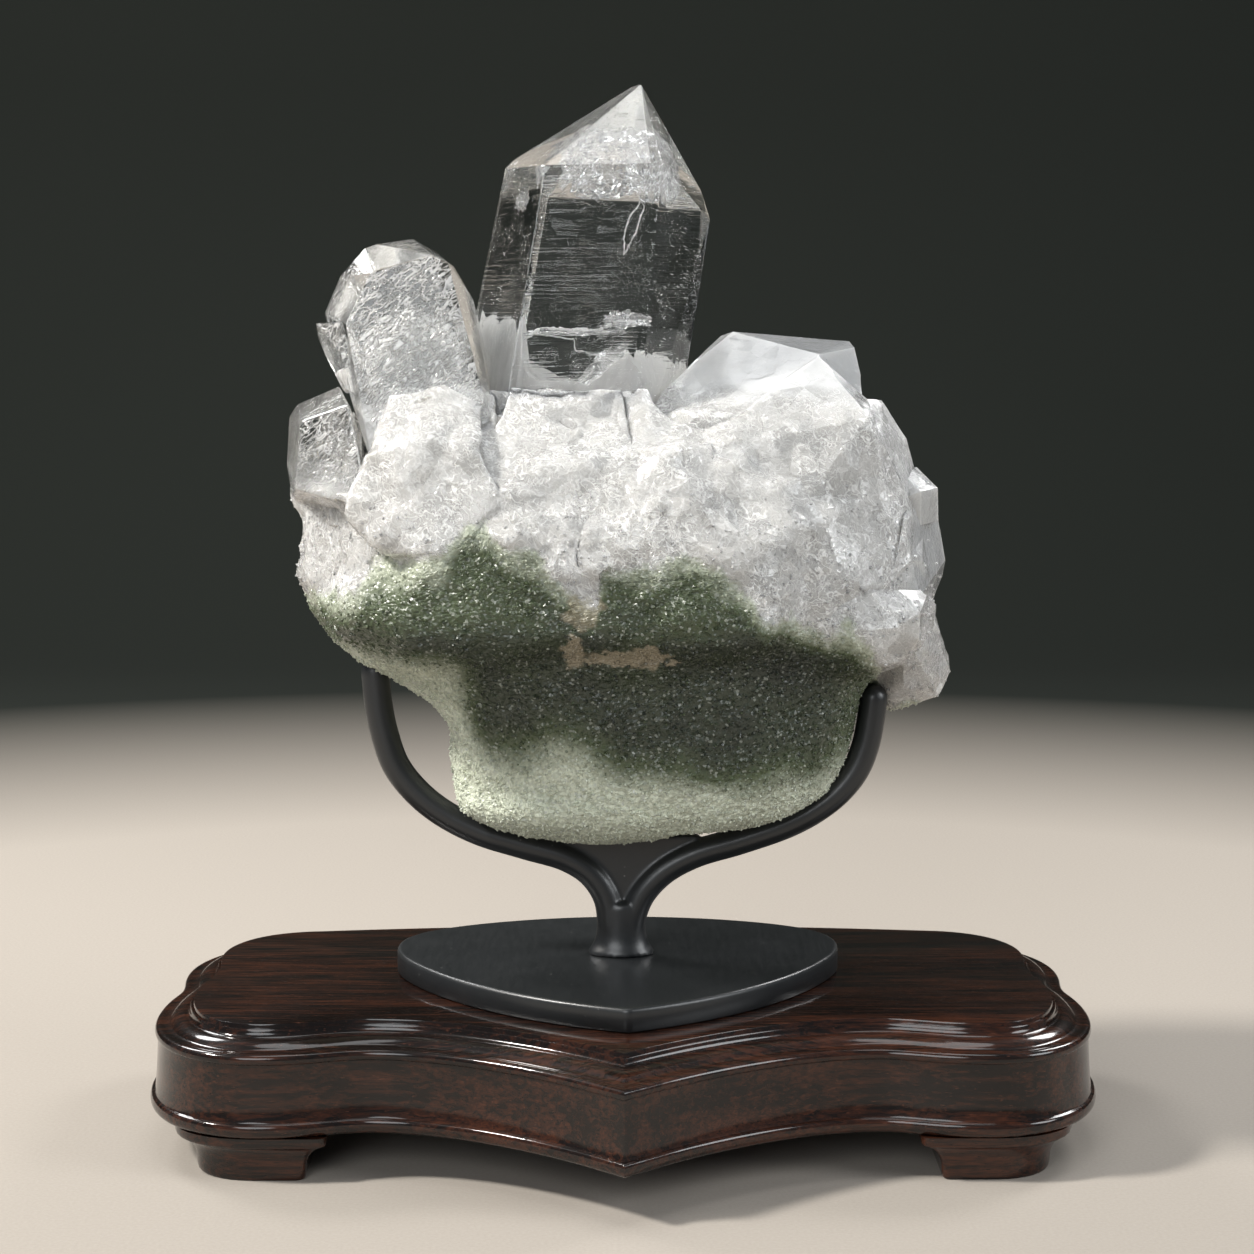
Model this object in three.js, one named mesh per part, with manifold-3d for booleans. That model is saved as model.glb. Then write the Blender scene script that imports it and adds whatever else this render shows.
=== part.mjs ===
// Chlorite quartz cluster resting in a metal fork on a moulded wooden base.
// Millimetres, +Z up. The pointed front of the base faces -Y, and the origin is under the middle of the base.
import * as THREE from "three";
import { ConvexGeometry } from "three/addons/geometries/ConvexGeometry.js";
import { mergeVertices } from "three/addons/utils/BufferGeometryUtils.js";
import Module from "manifold-3d";

const wasm = await Module();
wasm.setup();

// Driving dimensions
const GAP = 0.3;
const FOOT_HEIGHT = 9;
const PANEL_TOP = 29.8;
const PLATE_TOP = 34.8;
const ROD_RADIUS = 2.95;
const STEM_X = -1.25;
const ROD_OFFSET = 2.1;
const HOLDER_SETBACK = 7;
const HOLDER_X = 0.8;
const PLATE_X = -1.6;
const PLATE_TURN_DEG = 2;
const FOOT_X = 73.6;
const FOOT_FRONT_Y = -24;
const FOOT_BACK_Y = 40.5;
const WEB_TOP = 60.2;
const WEB_THICKNESS = 2.6;

const MATERIALS = {
  quartz: { color: 0xdedad4, roughness: 0.25, metalness: 0 },
  metal: { color: 0x17181a, roughness: 0.45, metalness: 0.6 },
  wood: { color: 0x2c1410, roughness: 0.3, metalness: 0 },
};

function named(name, geometry, material) {
  const mesh = new THREE.Mesh(geometry, new THREE.MeshStandardMaterial(MATERIALS[material]));
  mesh.name = name;
  return mesh;
}

// Joining and cutting
function solidFrom(geometry) {
  const bare = geometry.clone();
  bare.deleteAttribute("normal");
  bare.deleteAttribute("uv");
  const merged = mergeVertices(bare, 1e-4);
  const mesh = new wasm.Mesh({
    numProp: 3,
    vertProperties: new Float32Array(merged.attributes.position.array),
    triVerts: new Uint32Array(merged.index.array),
  });
  return new wasm.Manifold(mesh);
}

function geometryFrom(solid) {
  const { vertProperties, triVerts } = solid.getMesh();
  const geometry = new THREE.BufferGeometry();
  geometry.setAttribute("position", new THREE.BufferAttribute(vertProperties, 3));
  geometry.setIndex(new THREE.BufferAttribute(triVerts, 1));
  geometry.computeVertexNormals();
  return geometry;
}

function joined(solids) {
  return solids.reduce((sum, solid) => sum.add(solid));
}

function largestPiece(solid) {
  return solid.decompose().reduce((best, piece) => (piece.volume() > best.volume() ? piece : best));
}

// A closed skin over rings of equal length, listed upwards and each running anticlockwise from above.
function loft(rings) {
  const count = rings[0].length;
  const corners = rings.flat().flatMap((p) => [p.x, p.y, p.z]);
  const faces = [];
  for (let level = 0; level + 1 < rings.length; level++) {
    for (let i = 0; i < count; i++) {
      const a = level * count + i;
      const b = level * count + ((i + 1) % count);
      faces.push(a, b, b + count, a, b + count, a + count);
    }
  }
  const top = (rings.length - 1) * count;
  const middle = (ring) => ring.reduce((sum, p) => sum.add(p), new THREE.Vector3()).divideScalar(count);
  for (const centre of [middle(rings[0]), middle(rings.at(-1))]) {
    corners.push(centre.x, centre.y, centre.z);
  }
  const lowCentre = rings.length * count;
  for (let i = 0; i < count; i++) {
    const next = (i + 1) % count;
    faces.push(lowCentre, next, i, lowCentre + 1, top + i, top + next);
  }
  const geometry = new THREE.BufferGeometry();
  geometry.setAttribute("position", new THREE.Float32BufferAttribute(corners, 3));
  geometry.setIndex(faces);
  return geometry;
}

function hull(points) {
  return solidFrom(new ConvexGeometry(points.map(([x, y, z]) => new THREE.Vector3(x, y, z))));
}

// Wooden base
// The right half of the top panel's outline, from the front point round to the middle of the back.
function panelHalf() {
  const path = new THREE.Path();
  path.moveTo(0, -49.8);
  path.bezierCurveTo(13.4, -37.6, 33.4, -25.5, 49.5, -25.5);
  path.bezierCurveTo(58.5, -25.5, 62, -29.3, 71, -29.3);
  path.bezierCurveTo(80.7, -29.3, 87.4, -20.5, 87.4, -5);
  path.bezierCurveTo(87.4, 5, 85.6, 7, 85.6, 13);
  path.bezierCurveTo(85.6, 19, 86.6, 21, 86.6, 26.5);
  path.bezierCurveTo(86.6, 37, 80.6, 47, 67.5, 47.7);
  path.bezierCurveTo(45, 51, 20, 52.9, 0, 52.9);
  return path.getSpacedPoints(34);
}

function mirrored(half) {
  const left = half.slice(1, -1).reverse();
  return [...half, ...left.map((p) => new THREE.Vector2(-p.x, p.y))];
}

// Each point moved outward square to the outline, with a mitre at the front point.
function outset(outline, distance, z) {
  const count = outline.length;
  return outline.map((p, i) => {
    const along = (from, to) => to.clone().sub(from).normalize();
    const before = along(outline[(i + count - 1) % count], p);
    const after = along(p, outline[(i + 1) % count]);
    const mean = before.clone().add(after).normalize();
    const reach = distance / mean.dot(after);
    return new THREE.Vector3(p.x + mean.y * reach, p.y - mean.x * reach, z);
  });
}

// The moulded edge from the underside up, as how far it stands out from the panel and its height.
const BASE_EDGE = [
  [7.6, FOOT_HEIGHT],
  [9, FOOT_HEIGHT + 0.2],
  [9.3, FOOT_HEIGHT + 1.1],
  [9.2, FOOT_HEIGHT + 2.3],
  [8.3, FOOT_HEIGHT + 3.1],
  [7.6, 23.4],
  [8, 24.1],
  [7.8, 25],
  [7, 25.6],
  [4.6, 26.2],
  [3.6, 26.6],
  [1.8, 27.4],
  [1, 28.8],
  [0.5, 29.1],
  [0, PANEL_TOP],
];

function woodBase() {
  const outline = mirrored(panelHalf());
  return loft(BASE_EDGE.map(([out, z]) => outset(outline, out, z)));
}

// Bracket foot. Its plan is square at the inner end and round at the outer one; x points outward.
const FOOT_HALF_WIDTH = 10.8;
const FOOT_HALF_DEPTH = 11.5;

// How far the foot spreads along the base and the share of that across it, with heights from the floor up.
const FOOT_SPREAD = [
  [0, 0],
  [0.5, 0.7],
  [0.8, 3.4],
  [1.6, 5.2],
  [3.2, 6.6],
  [4.7, 7.3],
  [4.8, FOOT_HEIGHT - GAP],
];
const SPREAD_ACROSS = 0.45;

function footPlan() {
  const plan = new THREE.Path();
  plan.moveTo(-1, -0.86);
  plan.quadraticCurveTo(-1, -1, -0.86, -1);
  plan.lineTo(-0.1, -1);
  plan.bezierCurveTo(0.55, -1, 1, -0.6, 1, 0);
  plan.bezierCurveTo(1, 0.6, 0.7, 1, 0.2, 1);
  plan.lineTo(-0.86, 1);
  plan.quadraticCurveTo(-1, 1, -1, 0.86);
  plan.lineTo(-1, -0.86);
  return plan.getPoints(3).slice(0, -1);
}

function bracketFoot(outward) {
  const plan = footPlan();
  const corners = outward > 0 ? plan : plan.map((p) => new THREE.Vector2(-p.x, p.y)).reverse();
  const ring = ([spread, z]) => {
    const halfWidth = FOOT_HALF_WIDTH + spread;
    const halfDepth = FOOT_HALF_DEPTH + SPREAD_ACROSS * spread;
    return corners.map((p) => new THREE.Vector3(halfWidth * p.x, halfDepth * p.y, z));
  };
  return loft(FOOT_SPREAD.map(ring));
}

// Metal plate with a pointed front, straight from its outline with a small chamfer round the top.
function standPlate() {
  const path = new THREE.Path();
  path.moveTo(0, -44.4);
  path.bezierCurveTo(15, -38.6, 32, -27, 42.5, -7);
  path.bezierCurveTo(47.6, 2, 48.6, 12, 43.5, 19);
  path.bezierCurveTo(37, 27.6, 17, 34.2, 0, 34.2);
  const outline = mirrored(path.getSpacedPoints(24));
  const chamfer = 0.5;
  const bottom = PANEL_TOP + GAP;
  return loft([
    outset(outline, 0, bottom),
    outset(outline, 0, PLATE_TOP - chamfer),
    outset(outline, -chamfer, PLATE_TOP),
  ]);
}

// Fork
// Centre lines of the two rods, as x and z in the plane of the fork, from tip to foot.
const LEFT_ROD = [
  [-52.2, 94.6],
  [-51.5, 87],
  [-50.2, 80.8],
  [-48, 74.7],
  [-43.9, 69.3],
  [-38.6, 64.9],
  [-31, 60.9],
  [-21.2, 57.8],
  [-12.6, 55.2],
  [-7.4, 51.8],
  [-4.2, 46.8],
  [STEM_X - ROD_OFFSET, 41],
  [STEM_X - ROD_OFFSET, PLATE_TOP + GAP],
];
const RIGHT_ROD = [
  [51.2, 89],
  [50.7, 84.5],
  [49.6, 78.8],
  [47.6, 73.8],
  [44.2, 69.4],
  [39.5, 65.6],
  [33.4, 62.3],
  [23.5, 58.8],
  [14, 55.9],
  [7.4, 52.2],
  [2.8, 47],
  [STEM_X + ROD_OFFSET, 41],
  [STEM_X + ROD_OFFSET, PLATE_TOP + GAP],
];

function bentRod(centreLine, radius) {
  const steps = 22;
  const quarterSides = 5;
  const curve = new THREE.CatmullRomCurve3(centreLine.map(([x, z]) => new THREE.Vector3(x, 0, z)));
  const section = new THREE.Shape().absarc(0, 0, radius, 0, 2 * Math.PI);
  const rod = new THREE.ExtrudeGeometry(section, { steps, curveSegments: quarterSides, extrudePath: curve });
  const [tipX, tipZ] = centreLine[0];
  const tip = new THREE.SphereGeometry(radius, 2 * quarterSides, quarterSides + 1);
  return solidFrom(rod).add(solidFrom(tip.translate(tipX, 0, tipZ)));
}

// Oval stem that fills the groove between the rods and spreads at the plate.
function stemFoot() {
  const bottom = PLATE_TOP + GAP;
  const profile = [
    [0, bottom],
    [7, bottom],
    [6.9, bottom + 0.5],
    [5.9, bottom + 1.9],
    [5.2, bottom + 4.2],
    [5, bottom + 8],
    [4.6, bottom + 10.5],
    [0, bottom + 11],
  ];
  const sides = 20;
  const depthOfWidth = 0.66;
  const lathe = new THREE.LatheGeometry(profile.map(([r, z]) => new THREE.Vector2(r, z)), sides);
  return solidFrom(lathe.rotateX(Math.PI / 2).scale(1, depthOfWidth, 1).translate(STEM_X, 0, 0));
}

// Gusset in the crotch, with a narrow ledge along its top, as x and z.
const WEB_OUTLINE = [
  [-1.2, 46.5],
  [8, 52],
  [16, 57.4],
  [14.8, WEB_TOP],
  [-16.2, WEB_TOP],
  [-17.5, 57.4],
  [-10, 52],
];

function gusset() {
  const shape = new THREE.Shape(WEB_OUTLINE.map(([x, z]) => new THREE.Vector2(x, z)));
  const web = new THREE.ExtrudeGeometry(shape, { depth: WEB_THICKNESS, bevelEnabled: false });
  return solidFrom(web.translate(0, 0, -WEB_THICKNESS / 2).rotateX(Math.PI / 2));
}

function forkSolid() {
  return joined([bentRod(LEFT_ROD, ROD_RADIUS), bentRod(RIGHT_ROD, ROD_RADIUS), stemFoot(), gusset()]);
}

// Room that the stone leaves for the rods and for the ledge of the gusset.
function roomForStand() {
  const ledgeWidth = 33.6;
  const ledgeMiddle = -0.8;
  const ledgeDepth = 8;
  const ledge = new THREE.BoxGeometry(ledgeWidth, WEB_THICKNESS + 2 * GAP, ledgeDepth);
  ledge.translate(ledgeMiddle, 0, WEB_TOP + GAP - ledgeDepth / 2);
  const rods = [LEFT_ROD, RIGHT_ROD].map((centreLine) => bentRod(centreLine, ROD_RADIUS + GAP));
  return joined([...rods, solidFrom(ledge)]);
}

// Quartz
function seededRandom(seed) {
  let state = seed;
  return () => {
    state = (state * 1664525 + 1013904223) % 4294967296;
    return state / 4294967296;
  };
}

const MILKY_MIDDLE = new THREE.Vector3(-3, 1, 122);

// Smooth uneven value between about -1 and 1 at a place in the stone.
function unevenness(x, y, z) {
  const coarse = Math.sin(0.17 * x + 0.9) * Math.cos(0.21 * y - 0.4) * Math.sin(0.19 * z + 0.3);
  const fine = Math.sin(0.53 * x + 0.31 * z) * Math.cos(0.47 * y - 0.41 * z + 1.1);
  return 0.6 * coarse + 0.5 * fine;
}

// The drusy body: height, then the reach to the left, right, front and back.
const BODY_LEVELS = [
  [59.7, -10, 1, -9, 6],
  [60.6, -19, 7, -12, 8],
  [62.2, -27, 16, -14, 11],
  [63.6, -31, 31, -16, 13],
  [66, -34.6, 37, -19, 16],
  [70, -36, 42.5, -21.5, 19],
  [76, -36.2, 45.5, -23.5, 22],
  [82, -36.6, 47, -24.5, 25],
  [87, -38.4, 48, -25.5, 28],
  [91, -44, 49, -26.5, 30],
  [95, -51, 52, -27.5, 32],
  [98.5, -57.5, 56, -29, 34],
  [102, -61.2, 61, -32, 35],
  [106, -64, 61.5, -35.5, 36],
  [112, -66.4, 62.5, -37.5, 36.5],
  [119, -68.4, 63.5, -38.5, 37],
  [127, -67.2, 62, -38, 36.5],
  [135, -66, 57, -36, 34],
  [141, -61, 50, -29, 30],
  [145, -50, 42, -19, 26],
  [148, -40, 30, -12, 21],
  [150, -26, 16, -5, 15],
];

const SWELL = 1.3;
const FLAT_BELOW = 66;

function drusyBody() {
  const corners = 40;
  const squareness = 0.86;
  const bellyBack = 2;
  const soft = (value) => Math.sign(value) * Math.abs(value) ** squareness;
  const ring = ([z, left, right, front, back]) => {
    const middleX = (left + right) / 2;
    const middleY = (front + back) / 2 + bellyBack;
    return Array.from({ length: corners }, (_, i) => {
      const turn = (i / corners) * 2 * Math.PI;
      const across = soft(Math.cos(turn));
      const along = soft(Math.sin(turn));
      const x = middleX + across * (across > 0 ? right - middleX : middleX - left);
      const y = middleY + along * (along > 0 ? back - middleY : middleY - front);
      const swell = SWELL * unevenness(x, y, z);
      const rise = z > FLAT_BELOW ? SWELL * unevenness(y, z, x) : 0;
      return new THREE.Vector3(x + swell * Math.cos(turn), y + swell * Math.sin(turn), z + rise);
    });
  };
  return solidFrom(loft(BODY_LEVELS.map(ring)));
}

function lump(centre, radii) {
  const roughness = 0.09;
  const pitch = 1.6;
  const ball = new THREE.IcosahedronGeometry(1, 2);
  const spots = ball.attributes.position;
  for (let i = 0; i < spots.count; i++) {
    const spot = new THREE.Vector3().fromBufferAttribute(spots, i);
    const [x, y, z] = ["x", "y", "z"].map((axis, k) => centre[k] + radii[k] * spot[axis]);
    const swell = 1 + roughness * unevenness(pitch * x, pitch * y, pitch * z);
    const place = ["x", "y", "z"].map((axis, k) => centre[k] + radii[k] * spot[axis] * swell);
    spots.setXYZ(i, ...place);
  }
  return solidFrom(ball);
}

// A six-sided quartz point: its base, the way it grows, its radius, its length, its turn about its axis and
// the height of its tip as a share of the radius.
function quartzPoint(base, direction, radius, length, spin, tipShare = 0.9) {
  const axis = new THREE.Vector3(...direction).normalize();
  const side = new THREE.Vector3(0, 0, 1).cross(axis);
  if (side.lengthSq() < 1e-6) side.set(1, 0, 0);
  side.normalize();
  const other = axis.clone().cross(side);
  const start = new THREE.Vector3(...base);
  const at = (turn, reach, along) =>
    start
      .clone()
      .addScaledVector(side, Math.cos(turn) * reach)
      .addScaledVector(other, Math.sin(turn) * reach)
      .addScaledVector(axis, along);
  const taper = 1.08;
  const alternation = 0.35;
  const corners = [at(0, 0, length)];
  for (let k = 0; k < 6; k++) {
    const turn = spin + (k * Math.PI) / 3;
    const shoulder = length - radius * tipShare * (1 + alternation * (-1) ** k);
    corners.push(at(turn, radius * taper, 0), at(turn, radius, shoulder));
  }
  return hull(corners.map((p) => p.toArray()));
}

// The tall clear point: its blunt tip, the corners of its shoulder and the corners of its root.
function clearPoint() {
  return hull([
    [2.9, 3, 214.5],
    [0.8, 3.6, 213.9],
    [-24.9, 3, 197.5],
    [-23, 3, 199.3],
    [-16.3, -14.6, 197.2],
    [4.6, -15, 197.6],
    [6.8, -14, 197.4],
    [15.2, 3, 193],
    [17, 3, 187.4],
    [16.3, 3, 182.5],
    [6, 20, 190],
    [-16, 20.5, 191],
    [-38, 3, 135],
    [-26.6, -18.8, 135],
    [-0.4, -19, 135],
    [1.2, -18, 135],
    [9, 3, 135],
    [1, 24, 135],
    [-26, 24, 135],
  ]);
}

// The broad frosted crystal that leans left, cut slantwise at its top.
function frostedCrystal() {
  return hull([
    [-52.5, -8, 181.2],
    [-50.2, -8, 182],
    [-43, -5, 183.1],
    [-38.6, -5, 180.6],
    [-49.6, -16, 177],
    [-38.4, -16.5, 179.6],
    [-35.4, -16, 178.2],
    [-34.7, -9, 177.6],
    [-30.9, -7, 170.9],
    [-32.5, -18, 167.6],
    [-57.8, -6, 175.6],
    [-61, -6, 168.2],
    [-60, -10, 167.6],
    [-50.6, -16.4, 176.2],
    [-55.4, -18.4, 166.2],
    [-47, 8, 179],
    [-36, 9, 175],
    [-58, 6, 168],
    [-50, -24, 138],
    [-24.5, -24, 138],
    [-54, 13, 138],
    [-24, 13, 138],
  ]);
}

function leftBuds() {
  return [
    hull([
      [-62.5, -8, 166.2],
      [-62.4, -6, 163.6],
      [-60.5, -9, 159.6],
      [-57.8, -8, 154],
      [-56, -17, 166.5],
      [-56.5, -17.5, 160],
      [-54, -19, 152],
      [-56, 3, 166],
      [-52, 4, 150],
    ]),
    hull([
      [-57.6, -12, 153.8],
      [-63.6, -9, 151],
      [-66.6, -8, 150],
      [-68.2, -8, 147.6],
      [-68.6, -10, 138],
      [-67.8, -8, 131],
      [-64.4, -21, 147],
      [-54.5, -24, 150.5],
      [-65.4, -22.5, 134],
      [-50, -29, 130],
      [-58, 10, 150],
      [-66, 10, 138],
      [-50, 8, 128],
    ]),
  ];
}

// The milky crystals on the right: the flat-topped one behind, the ridged one in front, the broken ones beside.
function milkyCrystals() {
  return [
    hull([
      [19.3, 4, 163.6],
      [21.7, 2, 164.5],
      [45.9, 5, 162.5],
      [46.6, 2, 161.3],
      [38.7, -8, 160],
      [11.4, -6, 156.6],
      [2.2, -14, 147.8],
      [14, -22, 144.5],
      [25, -20, 146.5],
      [27.6, -14.5, 153],
      [47.8, 0, 155.8],
      [22, 22, 158],
      [42, 22, 156],
      [0, -16, 128],
      [48, -10, 128],
      [4, 22, 128],
      [50, 20, 128],
    ]),
    hull([
      [38.5, -8.6, 159.6],
      [27.4, -15.4, 152.6],
      [24.4, -21, 146],
      [14.5, -27.5, 141],
      [47.5, -19, 148],
      [48.6, -6, 151],
      [23.5, -37, 119],
      [8, -31, 122],
      [56, -14, 132],
      [55, -20, 118],
      [38, -24, 104],
      [20, 0, 112],
      [52, 2, 116],
    ]),
    hull([
      [48.4, -6, 151],
      [51.8, -3, 150.6],
      [56.8, -3, 142.8],
      [57, -3, 139],
      [50.5, -15, 143],
      [57, -15, 128],
      [60.6, -2, 131],
      [47, -20, 120],
      [48, 12, 146],
      [58, 12, 126],
      [40, 0, 112],
    ]),
    hull([
      [57.5, -4, 136.2],
      [62.6, -1, 132.4],
      [64.7, 0, 123],
      [65.7, 0, 117.6],
      [65.4, 2, 114.2],
      [62, -2, 108],
      [55, -19, 127],
      [58.5, -17, 112],
      [50, -26, 108],
      [60, 14, 122],
      [46, 10, 104],
    ]),
    hull([
      [61, -6, 110],
      [62.4, 0, 108.4],
      [64.6, 2, 102.3],
      [67.2, 6, 97],
      [67.5, 6, 93.8],
      [65, 4, 88.6],
      [62, 6, 85.8],
      [53.5, 8, 83.6],
      [52, 20, 88],
      [60, 20, 98],
      [56, -13, 104],
      [57, -3, 92],
      [49, 5.5, 90],
      [46, -10, 108],
    ]),
  ];
}

// Broad low crystals across the front of the milky part, from left to right.
function frontCrystals() {
  return [
    hull([
      [-52, -29, 141],
      [-40, -33.5, 144.5],
      [-29, -33.5, 143],
      [-24.5, -36.5, 133],
      [-31, -38.8, 124],
      [-47, -36.5, 122],
      [-56, -31, 128],
      [-40, -14, 138],
      [-38, -14, 120],
    ]),
    hull([
      [-25.5, -25, 142],
      [-14, -28.5, 140.5],
      [-4.5, -31, 138.5],
      [-8, -37, 130],
      [-12.5, -39.8, 121.5],
      [-26, -39.3, 122.5],
      [-29, -35, 134],
      [-16, -12, 138],
      [-16, -12, 120],
    ]),
    hull([
      [-4.2, -31.5, 139],
      [0.4, -30, 141.5],
      [8.5, -29.5, 143.8],
      [15, -28.5, 141.6],
      [24, -27, 140],
      [5.5, -38.2, 132],
      [14, -38.2, 130],
      [-11, -39.6, 121],
      [-6, -38.8, 117],
      [16, -39, 118],
      [24.5, -36.6, 120],
      [8, -14, 136],
      [8, -14, 118],
    ]),
    hull([
      [-26.5, -25.5, 141],
      [-14, -29.6, 137.5],
      [-4.5, -31.4, 137],
      [1.2, -29, 140],
      [-22.6, -17.6, 152.4],
      [-12, -18, 150.4],
      [-1.6, -17.8, 153.2],
      [-21, -12, 149],
      [-2, -12, 149],
      [-12, -12, 134],
    ]),
    hull([
      [-51, -28.5, 141],
      [-40, -33.6, 143.4],
      [-29, -33.4, 142.4],
      [-46, -21.8, 151.5],
      [-36.5, -22.2, 154],
      [-28.5, -22, 150.5],
      [-43, -15, 147],
      [-30, -15, 146],
      [-40, -15, 132],
    ]),
  ];
}

// Bulging lobes of chlorite that hang over the darker trunk, and the swelling along its foot.
function chloriteLobes() {
  return [
    lump([-32, -14.5, 111], [29.5, 26.5, 14.5]),
    lump([13, -15.5, 110.5], [24.5, 26.5, 12.5]),
    lump([42, -10, 107], [20.5, 21.5, 12.5]),
    lump([-6, -3, 69], [30, 19.5, 9]),
    lump([-22, 12, 112], [36, 26, 16]),
    lump([28, 12, 110], [32, 26, 16]),
  ];
}

// Small points on the milky part, growing out and up round its sides and back.
function milkyPoints() {
  const random = seededRandom(7);
  const frontLimit = -0.5;
  const shortest = 16;
  const bluntness = 0.6;
  const points = [];
  const rows = [
    { z: 112, reachX: 51.5, reachY: 23, count: 15, size: 6 },
    { z: 123, reachX: 50, reachY: 23, count: 14, size: 7.5 },
    { z: 133, reachX: 43.5, reachY: 20, count: 12, size: 7 },
  ];
  for (const { z, reachX, reachY, count, size } of rows) {
    for (let i = 0; i < count; i++) {
      const turn = ((i + 0.6 * random()) / count) * 2 * Math.PI;
      if (Math.sin(turn) < frontLimit) continue;
      const x = MILKY_MIDDLE.x + reachX * Math.cos(turn);
      const y = MILKY_MIDDLE.y + reachY * Math.sin(turn);
      const lift = 0.3 + 0.7 * random();
      const direction = [Math.cos(turn), Math.sin(turn), lift];
      const radius = size * (0.8 + 0.4 * random());
      const length = shortest + 3.5 * random();
      const base = [x, y, z + 3 * random()];
      points.push(quartzPoint(base, direction, radius, length, 2 * random(), bluntness));
    }
  }
  return points;
}

// Larger points round the back, which stay lower than what stands before them.
function backPoints() {
  return [
    quartzPoint([-40, 8, 132], [-0.12, 0.34, 1], 10, 37, 0.2),
    quartzPoint([28, 12, 128], [0.22, 0.42, 1], 11, 34, 0.5),
    quartzPoint([-14, 14, 124], [-0.1, 1, 0.62], 9.5, 27, 0.1),
    quartzPoint([8, 14, 122], [0.25, 1, 0.35], 8.5, 27, 0.7),
    quartzPoint([-38, 12, 120], [-0.5, 1, 0.3], 9, 26, 0.3),
    quartzPoint([40, 12, 118], [0.7, 1, 0.25], 8.5, 25, 0.9),
  ];
}

// Flat faces ground into the milky part by growth against its neighbours, in rings of rising tilt.
function flattened(solid) {
  const random = seededRandom(19);
  const { vertProperties: spots } = solid.getMesh();
  const normal = new THREE.Vector3();
  const spot = new THREE.Vector3();
  const upright = new THREE.Vector3(0, 0, 1);
  const bands = [
    { tilt: 3, count: 12 },
    { tilt: 24, count: 11 },
    { tilt: 47, count: 8 },
  ];
  const blockWidth = 140;
  const blockHeight = 40;
  let left = solid;
  for (const { tilt, count } of bands) {
    for (let i = 0; i < count; i++) {
      const turn = ((i + 0.5 * random()) / count) * 2 * Math.PI;
      const rise = THREE.MathUtils.degToRad(tilt + 12 * random());
      normal.set(Math.cos(turn) * Math.cos(rise), Math.sin(turn) * Math.cos(rise), Math.sin(rise));
      let reach = -Infinity;
      for (let k = 0; k < spots.length; k += 3) {
        reach = Math.max(reach, spot.fromArray(spots, k).sub(MILKY_MIDDLE).dot(normal));
      }
      const depth = 1.2 + 1.8 * random();
      const block = new THREE.BoxGeometry(blockWidth, blockWidth, blockHeight);
      block.translate(0, 0, blockHeight / 2 + reach - depth);
      block.applyQuaternion(new THREE.Quaternion().setFromUnitVectors(upright, normal));
      block.translate(...MILKY_MIDDLE.toArray());
      left = left.subtract(solidFrom(block));
    }
  }
  return left;
}

function quartzSolid() {
  const whole = joined([
    flattened(drusyBody()),
    ...chloriteLobes(),
    ...milkyPoints(),
    ...backPoints(),
    ...leftBuds(),
    ...frontCrystals(),
    ...milkyCrystals(),
    frostedCrystal(),
    clearPoint(),
  ]);
  return largestPiece(whole.subtract(roomForStand()));
}

// Assembly
const plate = named("stand_plate", standPlate(), "metal");
plate.position.x = PLATE_X;
plate.rotation.z = THREE.MathUtils.degToRad(PLATE_TURN_DEG);

const holder = new THREE.Group();
holder.position.set(HOLDER_X, HOLDER_SETBACK, 0);
holder.add(named("quartz_cluster", geometryFrom(quartzSolid()), "quartz"));
holder.add(named("support_fork", geometryFrom(forkSolid()), "metal"));
holder.add(plate);

const object = new THREE.Group();
object.add(holder, named("wood_base", woodBase(), "wood"));
for (const [side, outward] of [["left", -1], ["right", 1]]) {
  for (const [end, y] of [["front", FOOT_FRONT_Y], ["back", FOOT_BACK_Y]]) {
    const foot = named(`foot_${end}_${side}`, bracketFoot(outward), "wood");
    foot.position.set(outward * FOOT_X, y, 0);
    object.add(foot);
  }
}

export default object;
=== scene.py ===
# Looks of the chlorite quartz cluster on its stand: milky and clear quartz over a drusy green foot,
# a black metal fork and plate, and a lacquered wooden base. Numbers are millimetres, meshes are
# metres, and +Z is up.
import itertools
import math

import bmesh
import bpy
import numpy as np
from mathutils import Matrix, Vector


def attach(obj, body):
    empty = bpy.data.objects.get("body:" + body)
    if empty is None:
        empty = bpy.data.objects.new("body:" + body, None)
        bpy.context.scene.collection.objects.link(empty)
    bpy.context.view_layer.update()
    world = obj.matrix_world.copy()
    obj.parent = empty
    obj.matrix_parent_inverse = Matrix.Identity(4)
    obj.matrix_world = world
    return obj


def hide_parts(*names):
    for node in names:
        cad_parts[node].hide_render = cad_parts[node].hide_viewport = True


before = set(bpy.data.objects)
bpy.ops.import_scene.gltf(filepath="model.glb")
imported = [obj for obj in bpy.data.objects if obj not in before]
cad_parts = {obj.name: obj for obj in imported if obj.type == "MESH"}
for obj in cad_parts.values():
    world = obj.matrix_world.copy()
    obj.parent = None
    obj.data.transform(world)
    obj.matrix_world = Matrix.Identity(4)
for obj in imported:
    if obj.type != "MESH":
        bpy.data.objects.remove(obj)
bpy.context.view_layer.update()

MM = 0.001
HOLDER = np.array([0.8, 7.0, 0.0])
BODY = "root"
SCENE = bpy.context.scene
NEIGHBOURS = tuple(itertools.product((-1, 0, 1), repeat=3))


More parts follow.
